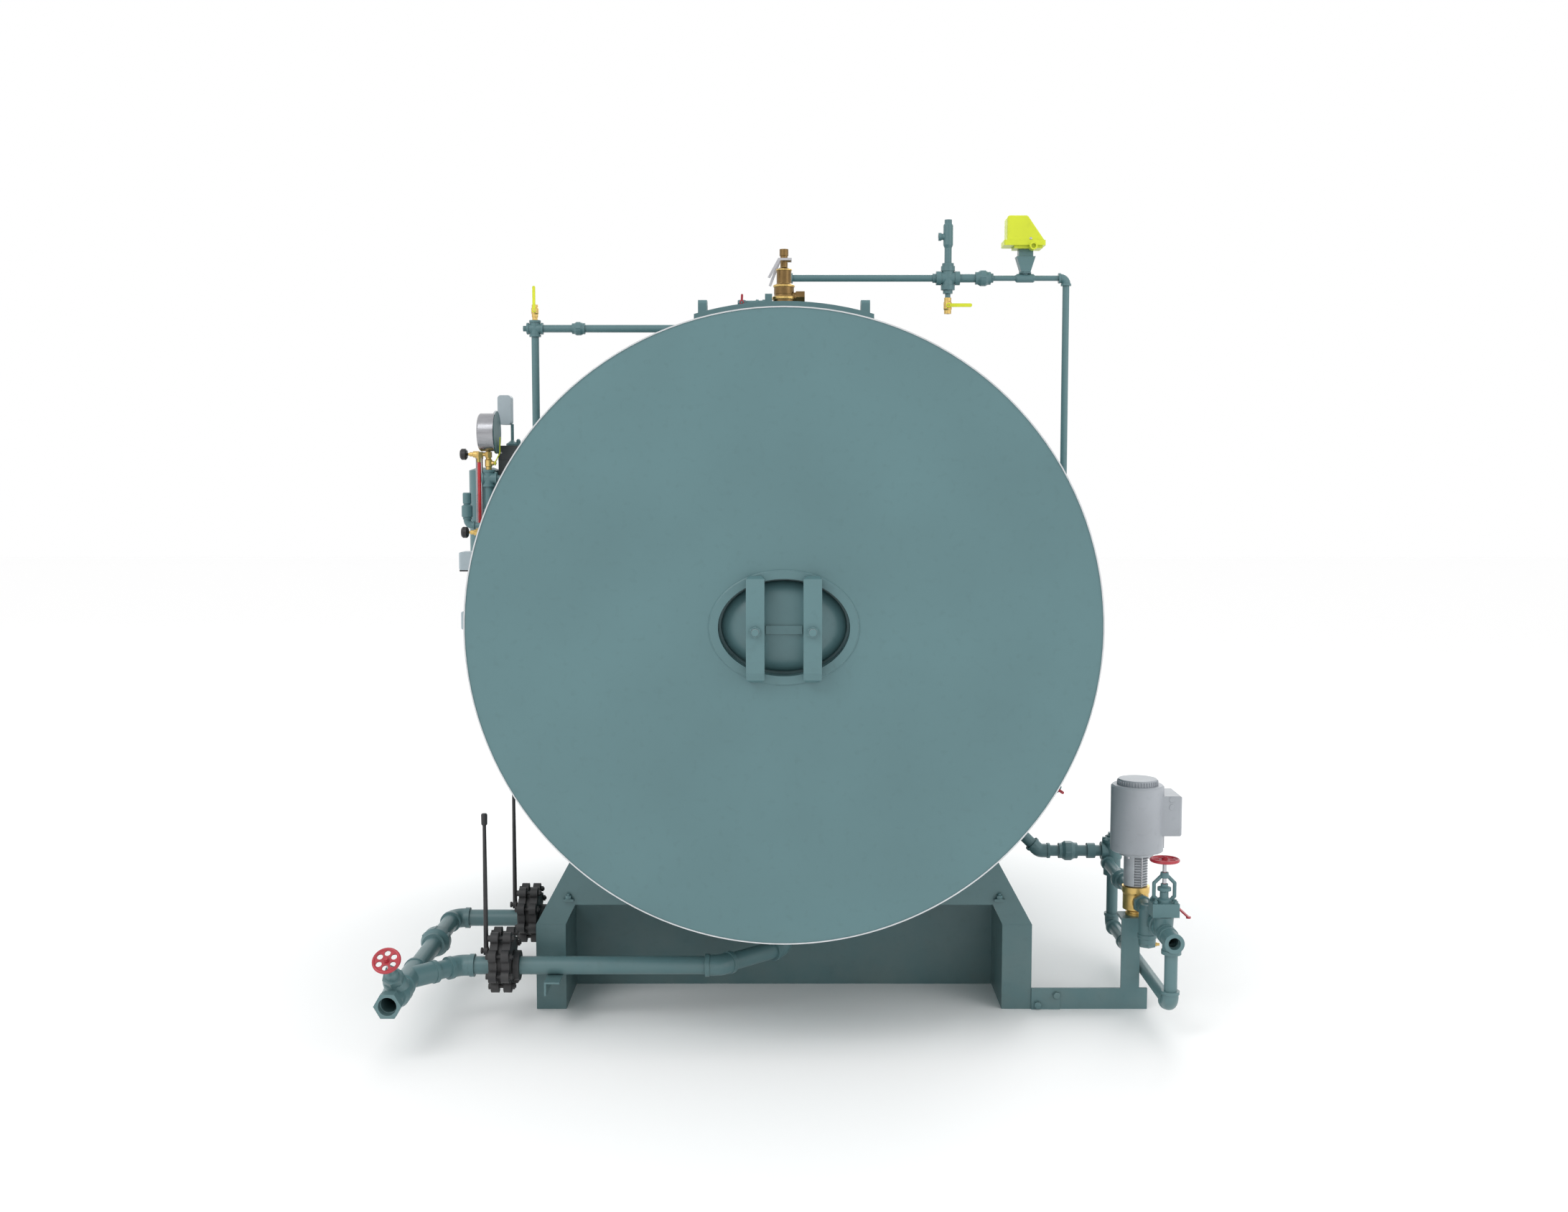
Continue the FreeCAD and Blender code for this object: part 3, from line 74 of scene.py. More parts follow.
# %% [markdown]
# ## A pale studio
# A large plane is the floor, and the world is an even white. Three wide area lamps give
# soft shapes: a key lamp from the upper left, a fill lamp from the right and one lamp
# behind, so that the back of the boiler is readable too.

# %% Floor, world and lamps
WHITE = (1.0, 1.0, 1.0, 1.0)
FLOOR_COLOUR = (0.99, 0.99, 0.99, 1.0)
FLOOR_SIZE = 60.0
DRUM_MID = (0.0, 0.0, 1.2)


def clear():
    """Nothing is selected after this, so an operator acts only on what comes next."""
    bpy.ops.object.select_all(action="DESELECT")


def studio_floor():
    clear()
    bpy.ops.mesh.primitive_plane_add(size=FLOOR_SIZE, location=(0.0, 0.0, 0.0))
    floor = bpy.context.object
    floor.name = "floor"
    matt = bpy.data.materials.new("floor_paint")
    matt.use_nodes = True
    shader = matt.node_tree.nodes["Principled BSDF"]
    shader.inputs["Base Color"].default_value = FLOOR_COLOUR
    shader.inputs["Roughness"].default_value = 0.9
    floor.data.materials.append(matt)


def lamp(name, place, target, size, watts):
    light = bpy.data.lights.new(name, "AREA")
    light.shape = "SQUARE"
    light.size = size
    light.energy = watts
    holder = bpy.data.objects.new(name, light)
    holder.location = place
    aim = Vector(target) - Vector(place)
    holder.rotation_euler = aim.to_track_quat("-Z", "Y").to_euler()
    bpy.context.collection.objects.link(holder)


studio_floor()
world = bpy.data.worlds.new("studio")
world.use_nodes = True
world.node_tree.nodes["Background"].inputs["Color"].default_value = WHITE
world.node_tree.nodes["Background"].inputs["Strength"].default_value = 1.0
bpy.context.scene.world = world
lamp("key_lamp", (-4.5, -6.0, 6.5), DRUM_MID, 4.0, 170.0)
lamp("fill_lamp", (6.0, -5.0, 3.5), DRUM_MID, 4.0, 60.0)
lamp("back_lamp", (2.0, 7.0, 6.0), DRUM_MID, 5.0, 220.0)
bpy.context.scene.view_settings.view_transform = "Standard"
print("lamps:", len(bpy.data.lights))

# %% [markdown]
# ## A recipe for finishes
# Real paint and real metal are never one flat value. Each finish here is built from the
# same five parts: a slow drift of tone over the surface, a fine grain that lifts the
# surface a little, a gloss that changes from patch to patch, dust that settles near the
# floor, and worn edges. The worn edges come from a Bevel node: where the rounded normal
# differs from the true normal there is an edge. All patterns read Object coordinates,
# so they have a true scale in metres.

# %% The finish recipe
FINISHES = {}


def linear(red, green, blue):
    """Screen values from 0 to 255 as the linear colour that a shader wants."""
    parts = []
    for value in (red, green, blue):
        value /= 255.0
        parts.append(value / 12.92 if value <= 0.04045 else ((value + 0.055) / 1.055) ** 2.4)
    return (*parts, 1.0)


def scaled(colour, factor):
    return (colour[0] * factor, colour[1] * factor, colour[2] * factor, 1.0)


class Tree:
    """A material's node tree, with short calls to add and wire its nodes."""

    def __init__(self, name):
        self.material = bpy.data.materials.new(name)
        self.material.use_nodes = True
        self.nodes = self.material.node_tree.nodes
        self.links = self.material.node_tree.links
        self.shader = self.nodes["Principled BSDF"]
        self.place = self.nodes.new("ShaderNodeTexCoord").outputs["Object"]

    def add(self, kind, **values):
        node = self.nodes.new("ShaderNode" + kind)
        for key, value in values.items():
            if key in node.inputs:
                self.wire(value, node.inputs[key])
            else:
                setattr(node, key, value)
        return node

    def wire(self, value, socket):
        if isinstance(value, bpy.types.NodeSocket):
            self.links.new(value, socket)
        else:
            socket.default_value = value

    def noise(self, scale, detail=3.0, stretch=(1.0, 1.0, 1.0)):
        mapped = self.add("Mapping", Vector=self.place, Scale=stretch)
        return self.add("TexNoise", Vector=mapped.outputs["Vector"], Scale=scale,
                        Detail=detail).outputs["Fac"]

    def ramp(self, value, low, high):
        """Zero below low, one above high, and straight between them."""
        node = self.add("MapRange", Value=value)
        node.inputs["From Min"].default_value = low
        node.inputs["From Max"].default_value = high
        return node.outputs["Result"]

    def span(self, value, low, high):
        """Spreads a value of 0 to 1 between low and high."""
        node = self.add("MapRange", Value=value)
        node.inputs["To Min"].default_value = low
        node.inputs["To Max"].default_value = high
        return node.outputs["Result"]

    def times(self, one, two):
        node = self.add("Math", operation="MULTIPLY")
        self.wire(one, node.inputs[0])
        self.wire(two, node.inputs[1])
        return node.outputs["Value"]

    def mix(self, factor, one, two):
        node = self.nodes.new("ShaderNodeMix")
        node.data_type = "RGBA"
        self.wire(factor, node.inputs["Factor"])
        colours = [s for s in node.inputs if s.type == "RGBA"]
        self.wire(one, colours[0])
        self.wire(two, colours[1])
        return [s for s in node.outputs if s.type == "RGBA"][0]

    def edges(self, width):
        """One on sharp edges and zero on flat faces, and the rounded normal itself."""
        rounded = self.add("Bevel", samples=4, Radius=width).outputs["Normal"]
        true = self.add("NewGeometry").outputs["Normal"]
        dot = self.add("VectorMath", operation="DOT_PRODUCT")
        self.wire(rounded, dot.inputs[0])
        self.wire(true, dot.inputs[1])
        return self.ramp(dot.outputs["Value"], 0.99, 0.80), rounded


def make_finish(slot, colour, rough=0.4, metal=0.0, tone=0.10, tone_scale=2.5, grain=0.15,
                grain_scale=350.0, worn=None, worn_amount=0.5, edge=0.0015, dust=0.0,
                coat=0.0, streak=(1.0, 1.0, 1.0)):
    tree = Tree(slot)
    drift = tree.noise(tone_scale, 4.0, streak)
    base = tree.mix(tree.ramp(drift, 0.30, 0.70), scaled(colour, 1.0 - tone),
                    scaled(colour, 1.0 + tone))
    speck = tree.noise(38.0, 6.0)
    base = tree.mix(tree.times(tree.ramp(speck, 0.56, 0.74), 0.25), base,
                    scaled(colour, 0.72))
    if dust:
        height = tree.add("SeparateXYZ", Vector=tree.place).outputs["Z"]
        low = tree.ramp(height, 0.45, 0.0)
        patchy = tree.ramp(tree.noise(9.0, 5.0), 0.35, 0.75)
        base = tree.mix(tree.times(tree.times(low, patchy), dust), base,
                        linear(150, 146, 136))
    edge_mask, rounded = tree.edges(edge)
    gloss = tree.span(tree.noise(14.0, 5.0), rough * 0.80, rough * 1.25)
    if worn:
        chips = tree.ramp(tree.noise(60.0, 6.0), 0.42, 0.60)
        wear = tree.times(tree.times(edge_mask, chips), worn_amount)
        base = tree.mix(wear, base, worn)
    tree.links.new(base, tree.shader.inputs["Base Color"])
    tree.links.new(gloss, tree.shader.inputs["Roughness"])
    tree.shader.inputs["Metallic"].default_value = metal
    tree.shader.inputs["Coat Weight"].default_value = coat
    bump = tree.add("Bump", Strength=grain, Distance=0.0008, Normal=rounded,
                    Height=tree.noise(grain_scale, 2.0))
    tree.links.new(bump.outputs["Normal"], tree.shader.inputs["Normal"])
    FINISHES[slot] = tree.material


print("recipe ready")

# %% [markdown]
# ## Mixing the finishes
# The drum and the steel pipes share one blue-green enamel. The base takes a darker copy
# of it, which is painted shade for the shade under the drum. The enamel chips to a
# paler primer on edges. Valves are raw black cast iron, wheels and cock handles are red
# enamel, and brass and bronze are metals with a coarse cast grain. Values are chosen.

# %% Finishes for each slot
TEAL = linear(84, 117, 121)
make_finish("teal_paint", TEAL, rough=0.36, tone=0.05, grain=0.10, worn=linear(140, 170, 170),
            worn_amount=0.45, dust=0.16)
# A darker copy of the teal: painted shade for the base, which lies in the shade under the drum.
make_finish("dark_teal_and_painted_shade", linear(80, 110, 113), rough=0.40, tone=0.06, grain=0.12,
            worn=linear(120, 145, 146), worn_amount=0.40, dust=0.14)
make_finish("edge_trim", linear(205, 208, 210), rough=0.30, metal=0.85, tone=0.06,
            tone_scale=6.0, grain=0.08, worn=linear(235, 236, 238))
make_finish("black_iron", linear(44, 44, 46), rough=0.52, tone=0.16, tone_scale=20.0,
            grain=0.45, grain_scale=520.0, worn=linear(105, 104, 102), dust=0.10)
make_finish("red_paint", linear(168, 38, 52), rough=0.30, tone=0.10, tone_scale=18.0,
            grain=0.12, worn=linear(120, 60, 55), worn_amount=0.6, coat=0.3)
make_finish("yellow_grip", linear(214, 220, 38), rough=0.38, tone=0.07, tone_scale=25.0,
            grain=0.10, worn=linear(150, 150, 70), worn_amount=0.4)
make_finish("cover_yellow", linear(206, 216, 40), rough=0.36, tone=0.05, tone_scale=10.0,
            grain=0.14, worn=linear(228, 232, 120), worn_amount=0.5)
make_finish("brass", linear(214, 182, 112), rough=0.34, metal=0.9, tone=0.18,
            tone_scale=30.0, grain=0.60, grain_scale=420.0, worn=linear(240, 214, 150),
            worn_amount=0.8)
make_finish("bronze", linear(122, 98, 62), rough=0.30, metal=0.9, tone=0.16,
            tone_scale=26.0, grain=0.35, grain_scale=480.0, worn=linear(250, 220, 150),
            worn_amount=0.9, edge=0.002)
make_finish("bright_steel", linear(186, 186, 190), rough=0.28, metal=0.9, tone=0.08,
            tone_scale=24.0, grain=0.15, grain_scale=600.0, worn=linear(220, 220, 224))
make_finish("motor_paint", linear(160, 165, 171), rough=0.42, tone=0.04, tone_scale=9.0,
            grain=0.10, worn=linear(210, 214, 218), worn_amount=0.4)
make_finish("cast_grey", linear(176, 181, 186), rough=0.48, metal=0.35, tone=0.10,
            tone_scale=30.0, grain=0.35, grain_scale=500.0, worn=linear(212, 214, 216))
make_finish("grey_plastic", linear(164, 176, 182), rough=0.50, tone=0.04, tone_scale=14.0,
            grain=0.18, grain_scale=700.0, worn=linear(200, 210, 214), worn_amount=0.3)
make_finish("black_plastic", linear(34, 34, 36), rough=0.42, tone=0.12, tone_scale=40.0,
            grain=0.25, grain_scale=700.0, worn=linear(70, 70, 72), worn_amount=0.4)
make_finish("red_glass", linear(196, 32, 38), rough=0.12, tone=0.06, tone_scale=40.0,
            grain=0.03, coat=0.6)
make_finish("chrome_case", linear(158, 159, 163), rough=0.27, metal=1.0, tone=0.10,
            tone_scale=16.0, grain=0.06, grain_scale=240.0, streak=(1.0, 1.0, 10.0))
make_finish("dark_paint", linear(58, 64, 68), rough=0.40, tone=0.12, tone_scale=12.0,
            grain=0.20, worn=linear(96, 104, 108), worn_amount=0.4)
print("finishes:", sorted(FINISHES))

# %% [markdown]
# ## Dressing the CAD nodes
# The frame comes with one plain material on each node, named for its slot. Each is
# swapped for the finish of the same name, and the mesh itself stays as it is. The base
# nodes then take the darker teal, which is painted shade for the shade under the drum.

# %% Finishes on the nodes
PAINTED_SHADE_NODES = ("base_rails", "base_saddles", "base_crossmembers")
for name, node in nodes.items():
    slot_name = node.material_slots[0].material.name.split(".")[0]
    node.material_slots[0].material = FINISHES[slot_name]
    # The base nodes take the darker teal as painted shade.
    if name in PAINTED_SHADE_NODES:
        node.material_slots[0].material = FINISHES["dark_teal_and_painted_shade"]
print("dressed:", len(nodes))

# %% [markdown]
# ## Small tools for modelling
# Most fittings on a boiler are turned on a lathe or cut from hexagon bar. So there is a
# helper that pulls a disc up step by step, one that makes a hexagon with its corners
# cut, one that stands a piece on its place, and one that copies a piece to many places.
# Working at the origin, along Z, is easier than working in place.

# %% Modelling helpers
def activate(piece):
    clear()
    piece.select_set(True)
    bpy.context.view_layer.objects.active = piece


def pick(piece, test, kind="FACE"):
    """Goes into edit mode with the faces or edges selected that pass the test."""
    activate(piece)
    bpy.ops.object.mode_set(mode="EDIT")
    bpy.ops.mesh.select_mode(type=kind)
    bpy.ops.mesh.select_all(action="DESELECT")
    bpy.ops.object.mode_set(mode="OBJECT")
    mesh = piece.data
    if kind == "FACE":
        for face in mesh.polygons:
            face.select = test(face.center, face.normal)
    elif kind == "EDGE":
        for edge in mesh.edges:
            one, two = (mesh.vertices[k].co for k in edge.vertices)
            edge.select = test((one + two) / 2, two - one)
    else:
        for corner in mesh.vertices:
            corner.select = test(corner.co, corner.normal)
    bpy.ops.object.mode_set(mode="EDIT")


def leave_edit():
    bpy.ops.mesh.select_all(action="SELECT")
    bpy.ops.mesh.normals_make_consistent(inside=False)
    bpy.ops.object.mode_set(mode="OBJECT")


def turned(steps, sides=32):
    """A lathe shape along Z: a disc pulled up and widened by (height, radius) steps."""
    clear()
    height, radius = steps[0]
    bpy.ops.mesh.primitive_circle_add(vertices=sides, radius=radius, fill_type="NGON",
                                      location=(0.0, 0.0, height))
    piece = bpy.context.object
    bpy.ops.object.transform_apply(location=True, rotation=True, scale=True)
    bpy.ops.object.mode_set(mode="EDIT")
    bpy.ops.mesh.select_all(action="SELECT")
    for (z0, r0), (z1, r1) in zip(steps, steps[1:]):
        bpy.ops.mesh.extrude_region_move(TRANSFORM_OT_translate={"value": (0, 0, z1 - z0)})
        if r1 != r0:
            bpy.ops.transform.resize(value=(r1 / r0, r1 / r0, 1.0),
                                     center_override=(0.0, 0.0, z1))
    leave_edit()
    return piece


def seat(piece, place, axis=(0.0, 0.0, 1.0), turn=0.0):
    """Stands a piece that was made along Z on its place, with its top along axis."""
    activate(piece)
    spin = Vector(axis).to_track_quat("Z", "Y").to_matrix().to_4x4()
    piece.matrix_world = Matrix.Translation(place) @ spin @ Matrix.Rotation(turn, 4, "Z")
    bpy.ops.object.transform_apply(location=True, rotation=True, scale=True)
    return piece


def join(pieces):
    clear()
    for piece in pieces:
        piece.select_set(True)
    bpy.context.view_layer.objects.active = pieces[0]
    bpy.ops.object.join()
    return bpy.context.object


def spread(piece, places):
    """Copies a piece to each (place, axis, turn) and joins the copies."""
    made = []
    for place, axis, turn in places:
        twin = piece.copy()
        twin.data = piece.data.copy()
        bpy.context.collection.objects.link(twin)
        made.append(seat(twin, place, axis, turn))
    bpy.data.objects.remove(piece)
    return join(made)


def rounded(piece, width, segments=2, angle=30.0):
    """Rounds every edge that is sharper than the angle."""
    activate(piece)
    bpy.ops.object.modifier_add(type="BEVEL")
    bevel = piece.modifiers[-1]
    bevel.width = width
    bevel.segments = segments
    bevel.limit_method = "ANGLE"
    bevel.angle_limit = math.radians(angle)
    bpy.ops.object.modifier_apply(modifier=bevel.name)
    return piece


def finished(piece, name, slot, body="boiler", angle=35.0):
    """Names a piece, gives it its finish and hangs it on the body it moves with."""
    activate(piece)
    piece.name = name
    bpy.ops.object.shade_smooth_by_angle(angle=math.radians(angle))
    piece.data.materials.clear()
    piece.data.materials.append(FINISHES[slot])
    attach(piece, body)
    print(name, len(piece.data.polygons), "faces")
    return piece


print("helpers ready")

# %% [markdown]
# ## Hexagon nuts and bolt heads
# A bolt head is a short hexagon bar whose corners are turned away on a lathe. Here a
# six-sided cylinder has its six upper corners bevelled, which gives the same curved look
# for very few faces. A washer sits below and a threaded end stands above: the thread is
# made of small steps, because a true helix would cost a thousand faces for each bolt.

# %% Hexagon head, nut with thread, washer
def hexagon(flats, height, base=0.0):
    clear()
    bpy.ops.mesh.primitive_cylinder_add(vertices=6, radius=flats / math.sqrt(3),
                                        depth=height, location=(0, 0, base + height / 2))
    piece = bpy.context.object
    bpy.ops.object.transform_apply(location=True, rotation=True, scale=True)
    pick(piece, lambda co, n: co.z > base + height * 0.9, kind="VERT")
    bpy.ops.mesh.bevel(offset=flats * 0.09, affect="VERTICES")
    leave_edit()
    pick(piece, lambda c, n: n.z > 0.9)
    bpy.ops.mesh.inset(thickness=flats * 0.04)
    bpy.ops.transform.translate(value=(0.0, 0.0, flats * 0.015))
    leave_edit()
    return piece


def bolt_head(flats, height):
    washer = turned([(0.0, flats * 0.66), (flats * 0.10, flats * 0.66)], 16)
    return join([hexagon(flats, height, flats * 0.10), washer])


def threaded_end(radius, start, end, pitch):
    steps = [(start, radius)]
    height = start
    while height + pitch < end:
        steps.append((height + pitch * 0.5, radius * 0.88))
        steps.append((height + pitch, radius))
        height += pitch
    steps.append((end, radius * 0.8))
    return turned(steps, 12)


def nut(flats, height, thread, out):
    """A nut on its washer, with the threaded end of its bolt standing out."""
    body = bolt_head(flats, height)
    top = flats * 0.10 + height
    return join([body, threaded_end(thread, top - 0.001, top + out, thread * 0.35)])


print("nuts and bolts ready")

# %% [markdown]
# ## Through bolts of the blowdown valves
# Each quick-opening valve is held between two flanges with eight lobes. A bolt runs
# through each pair of lobes. Between the flanges the bare shank shows. One bolt is made
# with its head, shank, nut and thread, and is then copied to sixteen places. The places
# come from the valve node's own box.

# %% Blowdown valve bolts
def through_bolt(grip):
    """A bolt along Z: head below zero, grip length, then nut and thread."""
    head = seat(bolt_head(0.019, 0.008), (0, 0, 0), (0, 0, -1))
    shank = turned([(-0.001, 0.0065), (grip * 0.5, 0.0062), (grip + 0.001, 0.0065)], 12)
    top = seat(nut(0.019, 0.008, 0.006, 0.004), (0, 0, grip))
    return join([head, shank, top])


valve_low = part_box("quick_valves")[0]
DISC_Z = 0.210
LINE_Y = (-1.097, -0.511)
FLANGE_FACES = (0.040, 0.108)
flange_left, flange_right = (valve_low.x + face for face in FLANGE_FACES)
LOBES = 8
LOBE_R = 0.088
bolt_places = []
for line_y in LINE_Y:
    for k in range(LOBES):
        turn = 2 * math.pi * (k + 0.5) / LOBES
        y = line_y + LOBE_R * math.cos(turn)
        z = DISC_Z + LOBE_R * math.sin(turn)
        bolt_places.append(((flange_left, y, z), (1.0, 0.0, 0.0), 0.3 * k))
valve_bolts = spread(through_bolt(flange_right - flange_left), bolt_places)
finished(valve_bolts, "blowdown_bolts", "black_iron")

# %% [markdown]
# ## Manway hardware
# Two yokes pull the manway cover up against its ring. Each stud ends in a rolled thread,
# which is made here as small lathe steps around the CAD stud. The ring is welded to the
# end plate, so a bead runs around it. The bead is a torus pulled into an oval.

# %% Manway threads, washers and weld
yoke_low, yoke_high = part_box("manway_yokes")
ring_low, ring_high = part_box("manway_ring")
shell_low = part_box("end_near")[0]
YOKE_X = 0.087
STUD_DROP = 0.004
THREAD_AT = 0.0086
WASHER_AT = 0.0265
stud_z = (yoke_low.z + yoke_high.z) / 2 - STUD_DROP
thread = threaded_end(0.0116, 0.0, 0.0085, 0.0022)
threads = spread(thread, [((side * YOKE_X, yoke_low.y + THREAD_AT, stud_z), (0, -1, 0), 0.2)
                          for side in (-1, 1)])
finished(threads, "manway_threads", "bright_steel")
washer = turned([(0.0, 0.021), (0.0035, 0.021)], 32)
washers = spread(washer, [((side * YOKE_X, yoke_low.y + WASHER_AT, stud_z), (0, -1, 0), 0.0)
                          for side in (-1, 1)])
finished(washers, "manway_washers", "teal_paint")

clear()
BEAD_R = 0.2
bpy.ops.mesh.primitive_torus_add(major_radius=BEAD_R, minor_radius=0.0045,
                                 major_segments=96, minor_segments=8)
bead = bpy.context.object
bpy.ops.object.mode_set(mode="EDIT")
bpy.ops.mesh.select_all(action="SELECT")
bpy.ops.transform.resize(value=((ring_high.x - ring_low.x) / 2 / BEAD_R,
                                (ring_high.z - ring_low.z) / 2 / BEAD_R, 1.0),
                         center_override=(0.0, 0.0, 0.0))
leave_edit()
seat(bead, (0.0, shell_low.y, (ring_low.z + ring_high.z) / 2), (0, -1, 0))
finished(bead, "manway_weld", "teal_paint")

# %% [markdown]
# ## Bolts of the skid
# The saddles carry a bolt on a small shelf beside each rail, and the pump stand is
# bolted to the rail through a splice plate. They are plain hexagon bolts, so one head is
# copied to each place, standing on the top or the face of its node.

# %% Skid and stand bolts
saddle_low, saddle_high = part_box("base_saddles")
SHELF_X = 0.737
SHELF_TOP = 0.388
SHELF_IN = 0.009
skid_places = []
for side in (-1, 1):
    for y in (saddle_low.y + SHELF_IN, saddle_high.y - SHELF_IN):
        skid_places.append(((side * SHELF_X, y, SHELF_TOP), (0, 0, 1), 0.2 * side))
skid_bolts = spread(nut(0.019, 0.010, 0.006, 0.007), skid_places)
finished(skid_bolts, "skid_bolts", "teal_paint")

# Each splice bolt: how far in from the stand's side, how high, and its turn.
SPLICE_BOLTS = ((0.086, 0.051, 0.3), (0.021, 0.017, 0.9))
stand_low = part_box("pump_stand")[0]
splice_places = [((stand_low.x + x, stand_low.y, z), (0, -1, 0), turn)
                 for x, z, turn in SPLICE_BOLTS]
splice_bolts = spread(bolt_head(0.022, 0.009), splice_places)
finished(splice_bolts, "splice_bolts", "teal_paint")

# %% [markdown]
# ## Gate valve and globe valve trim
# The bonnet of the gate valve is held by four nuts. The stems are bright steel even
# where the wheel is painted, so a thin sleeve covers the painted stem of each wheel
# and turns with it.

# %% Bonnet nuts and bright stems
gate_low, gate_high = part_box("gate_valve")
wheel_low, wheel_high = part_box("gate_handwheel")
wheel_mid = (wheel_low + wheel_high) / 2
BONNET_H = 0.129
bonnet_top = gate_low.z + BONNET_H
bonnet_places = [((wheel_mid.x + sx * 0.033, wheel_mid.y + sy * 0.023, bonnet_top), (0, 0, 1), 0.4)
                 for sx in (-1, 1) for sy in (-1, 1)]
print("bonnet top at", round(bonnet_top, 4))
bonnet_nuts = spread(nut(0.013, 0.007, 0.004, 0.005), bonnet_places)
finished(bonnet_nuts, "bonnet_nuts", "teal_paint")

STEM_R = 0.0065
upper = turned([(gate_high.z + 0.001, STEM_R), (wheel_high.z - 0.024, STEM_R)], 24)
lower = turned([(gate_high.z - 0.037, STEM_R), (gate_high.z - 0.019, STEM_R)], 24)
sleeve = seat(join([upper, lower]), (wheel_mid.x, wheel_mid.y, 0.0))
finished(sleeve, "gate_stem", "bright_steel", body="gate_wheel")

globe_low, globe_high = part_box("globe_handwheel")
LEAN = (0.0, -math.sqrt(0.5), math.sqrt(0.5))
globe_turn = next(j for j in frame["record"]["behaviour"]["joints"]
                  if j["name"] == "globe_wheel_turn")
globe_mid = Vector(globe_turn["pos_m"])
print("globe wheel turns about", globe_mid, "inside", globe_low, globe_high)
sleeve = seat(turned([(-0.053, STEM_R), (-0.009, STEM_R)], 24), globe_mid, LEAN)
finished(sleeve, "globe_stem", "bright_steel", body="globe_wheel")

# %% [markdown]
# ## Pump motor
# The fan cap on the motor has a ring of upright ribs where the cooling air goes in. One
# rib is a small block with rounded edges, copied around the cap. The terminal box has
# two round knockouts on the front, and the lantern has a curved sheet guard on the left
# and a rod down its front.

# %% Motor ribs, knockouts, lantern guard
motor_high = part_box("pump_motor")[1]
lantern_low, lantern_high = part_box("pump_lantern")
pump_mid = (lantern_low + lantern_high) / 2
CAP_R = 0.0675
CAP_H = 0.020


def block(width, depth, height):
    """A block with its underside on zero."""
    clear()
    bpy.ops.mesh.primitive_cube_add(size=1.0, location=(0.0, 0.0, 0.5))
    piece = bpy.context.object
    bpy.ops.object.transform_apply(location=True, rotation=True, scale=True)
    bpy.ops.object.mode_set(mode="EDIT")
    bpy.ops.mesh.select_all(action="SELECT")
    bpy.ops.transform.resize(value=(width, depth, height), center_override=(0.0, 0.0, 0.0))
    leave_edit()
    return piece


RIBS = 44
rib = rounded(block(0.0035, 0.005, CAP_H * 0.75), 0.0008, 1)
rib_places = []
for k in range(RIBS):
    turn = 2 * math.pi * k / RIBS
    rib_places.append(((pump_mid.x + CAP_R * math.cos(turn), pump_mid.y + CAP_R * math.sin(turn),
                        motor_high.z - CAP_H), (0, 0, 1), turn + math.pi / 2))
finished(spread(rib, rib_places), "fan_cap_ribs", "motor_paint")

knockout = turned([(0.0, 0.0102), (0.0006, 0.0102), (0.0012, 0.0094)], 32)
box_front = pump_mid.y - 0.050
KNOCKOUT_X = 0.108
KNOCKOUT_DROPS = (0.065, 0.091)
knock_places = [((pump_mid.x + KNOCKOUT_X, box_front, motor_high.z - drop), (0, -1, 0), 0.0)
                for drop in KNOCKOUT_DROPS]
knockouts = spread(knockout, knock_places)
finished(knockouts, "terminal_knockouts", "motor_paint")

clear()
GUARD_R = 0.0425
GUARD_H = 0.104
GUARD_END = 250.0
bpy.ops.mesh.primitive_cylinder_add(vertices=72, radius=GUARD_R, depth=GUARD_H,
                                    end_fill_type="NOTHING", location=(0.0, 0.0, 0.0))
guard = bpy.context.object
sheet_edge = math.cos(math.radians(GUARD_END)) * GUARD_R
pick(guard, lambda c, n: c.x >= sheet_edge)
bpy.ops.mesh.delete(type="FACE")
bpy.ops.object.mode_set(mode="OBJECT")
bpy.ops.object.modifier_add(type="SOLIDIFY")
guard.modifiers[-1].thickness = 0.0014
bpy.ops.object.modifier_apply(modifier=guard.modifiers[-1].name)
seat(guard, (pump_mid.x, pump_mid.y, lantern_low.z + 0.056), turn=math.pi)
finished(guard, "lantern_guard", "cast_grey")

tie = seat(turned([(lantern_low.z + 0.002, 0.0021), (lantern_high.z - 0.016, 0.0021)], 12),
           (pump_mid.x + 0.011, pump_mid.y - 0.0405, 0.0))
finished(tie, "lantern_rod", "bright_steel")

motor_bolts = spread(bolt_head(0.011, 0.006),
                     [((pump_mid.x + 0.050 * math.cos(a), pump_mid.y + 0.050 * math.sin(a),
                        lantern_high.z - 0.014), (0, 0, -1), 0.3)
                      for a in (math.radians(45 + 90 * k) for k in range(4))])
finished(motor_bolts, "lantern_bolts", "bright_steel")

# %% [markdown]
# ## Check valve cap and strainer drain
# The cap of the check valve is held down by six hexagon bolts in a circle. The strainer
# has a small brass drain plug at its foot.

# %% Check valve bolts and drain plug
check_low, check_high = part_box("check_valve")
riser_low, riser_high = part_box("feed_low_line")
FEED_X = wheel_mid.x
FEED_BACK_Y = (check_low.y + check_high.y) / 2
CAP_BOLT_R = 0.034
CAP_TOP = 0.136
print("feed line at", FEED_X, "between", riser_low.x, "and", riser_high.x)
cap_bolts = spread(bolt_head(0.012, 0.007),
                   [((FEED_X + CAP_BOLT_R * math.cos(a), FEED_BACK_Y + CAP_BOLT_R * math.sin(a),
                      check_low.z + CAP_TOP), (0, 0, 1), a)
                    for a in (math.radians(60 * k) for k in range(6))])
finished(cap_bolts, "check_cap_bolts", "teal_paint")

strainer_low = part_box("strainer")[0]
STRAINER_X = pump_mid.x + 0.010
STRAINER_Y = strainer_low.y + 0.082
plug = turned([(0.0, 0.0065), (0.010, 0.0065), (0.010, 0.0048), (0.018, 0.0048)], 20)
seat(plug, (STRAINER_X + 0.024, STRAINER_Y, strainer_low.z + 0.006), (1, 0, 0))
finished(plug, "strainer_drain", "brass")

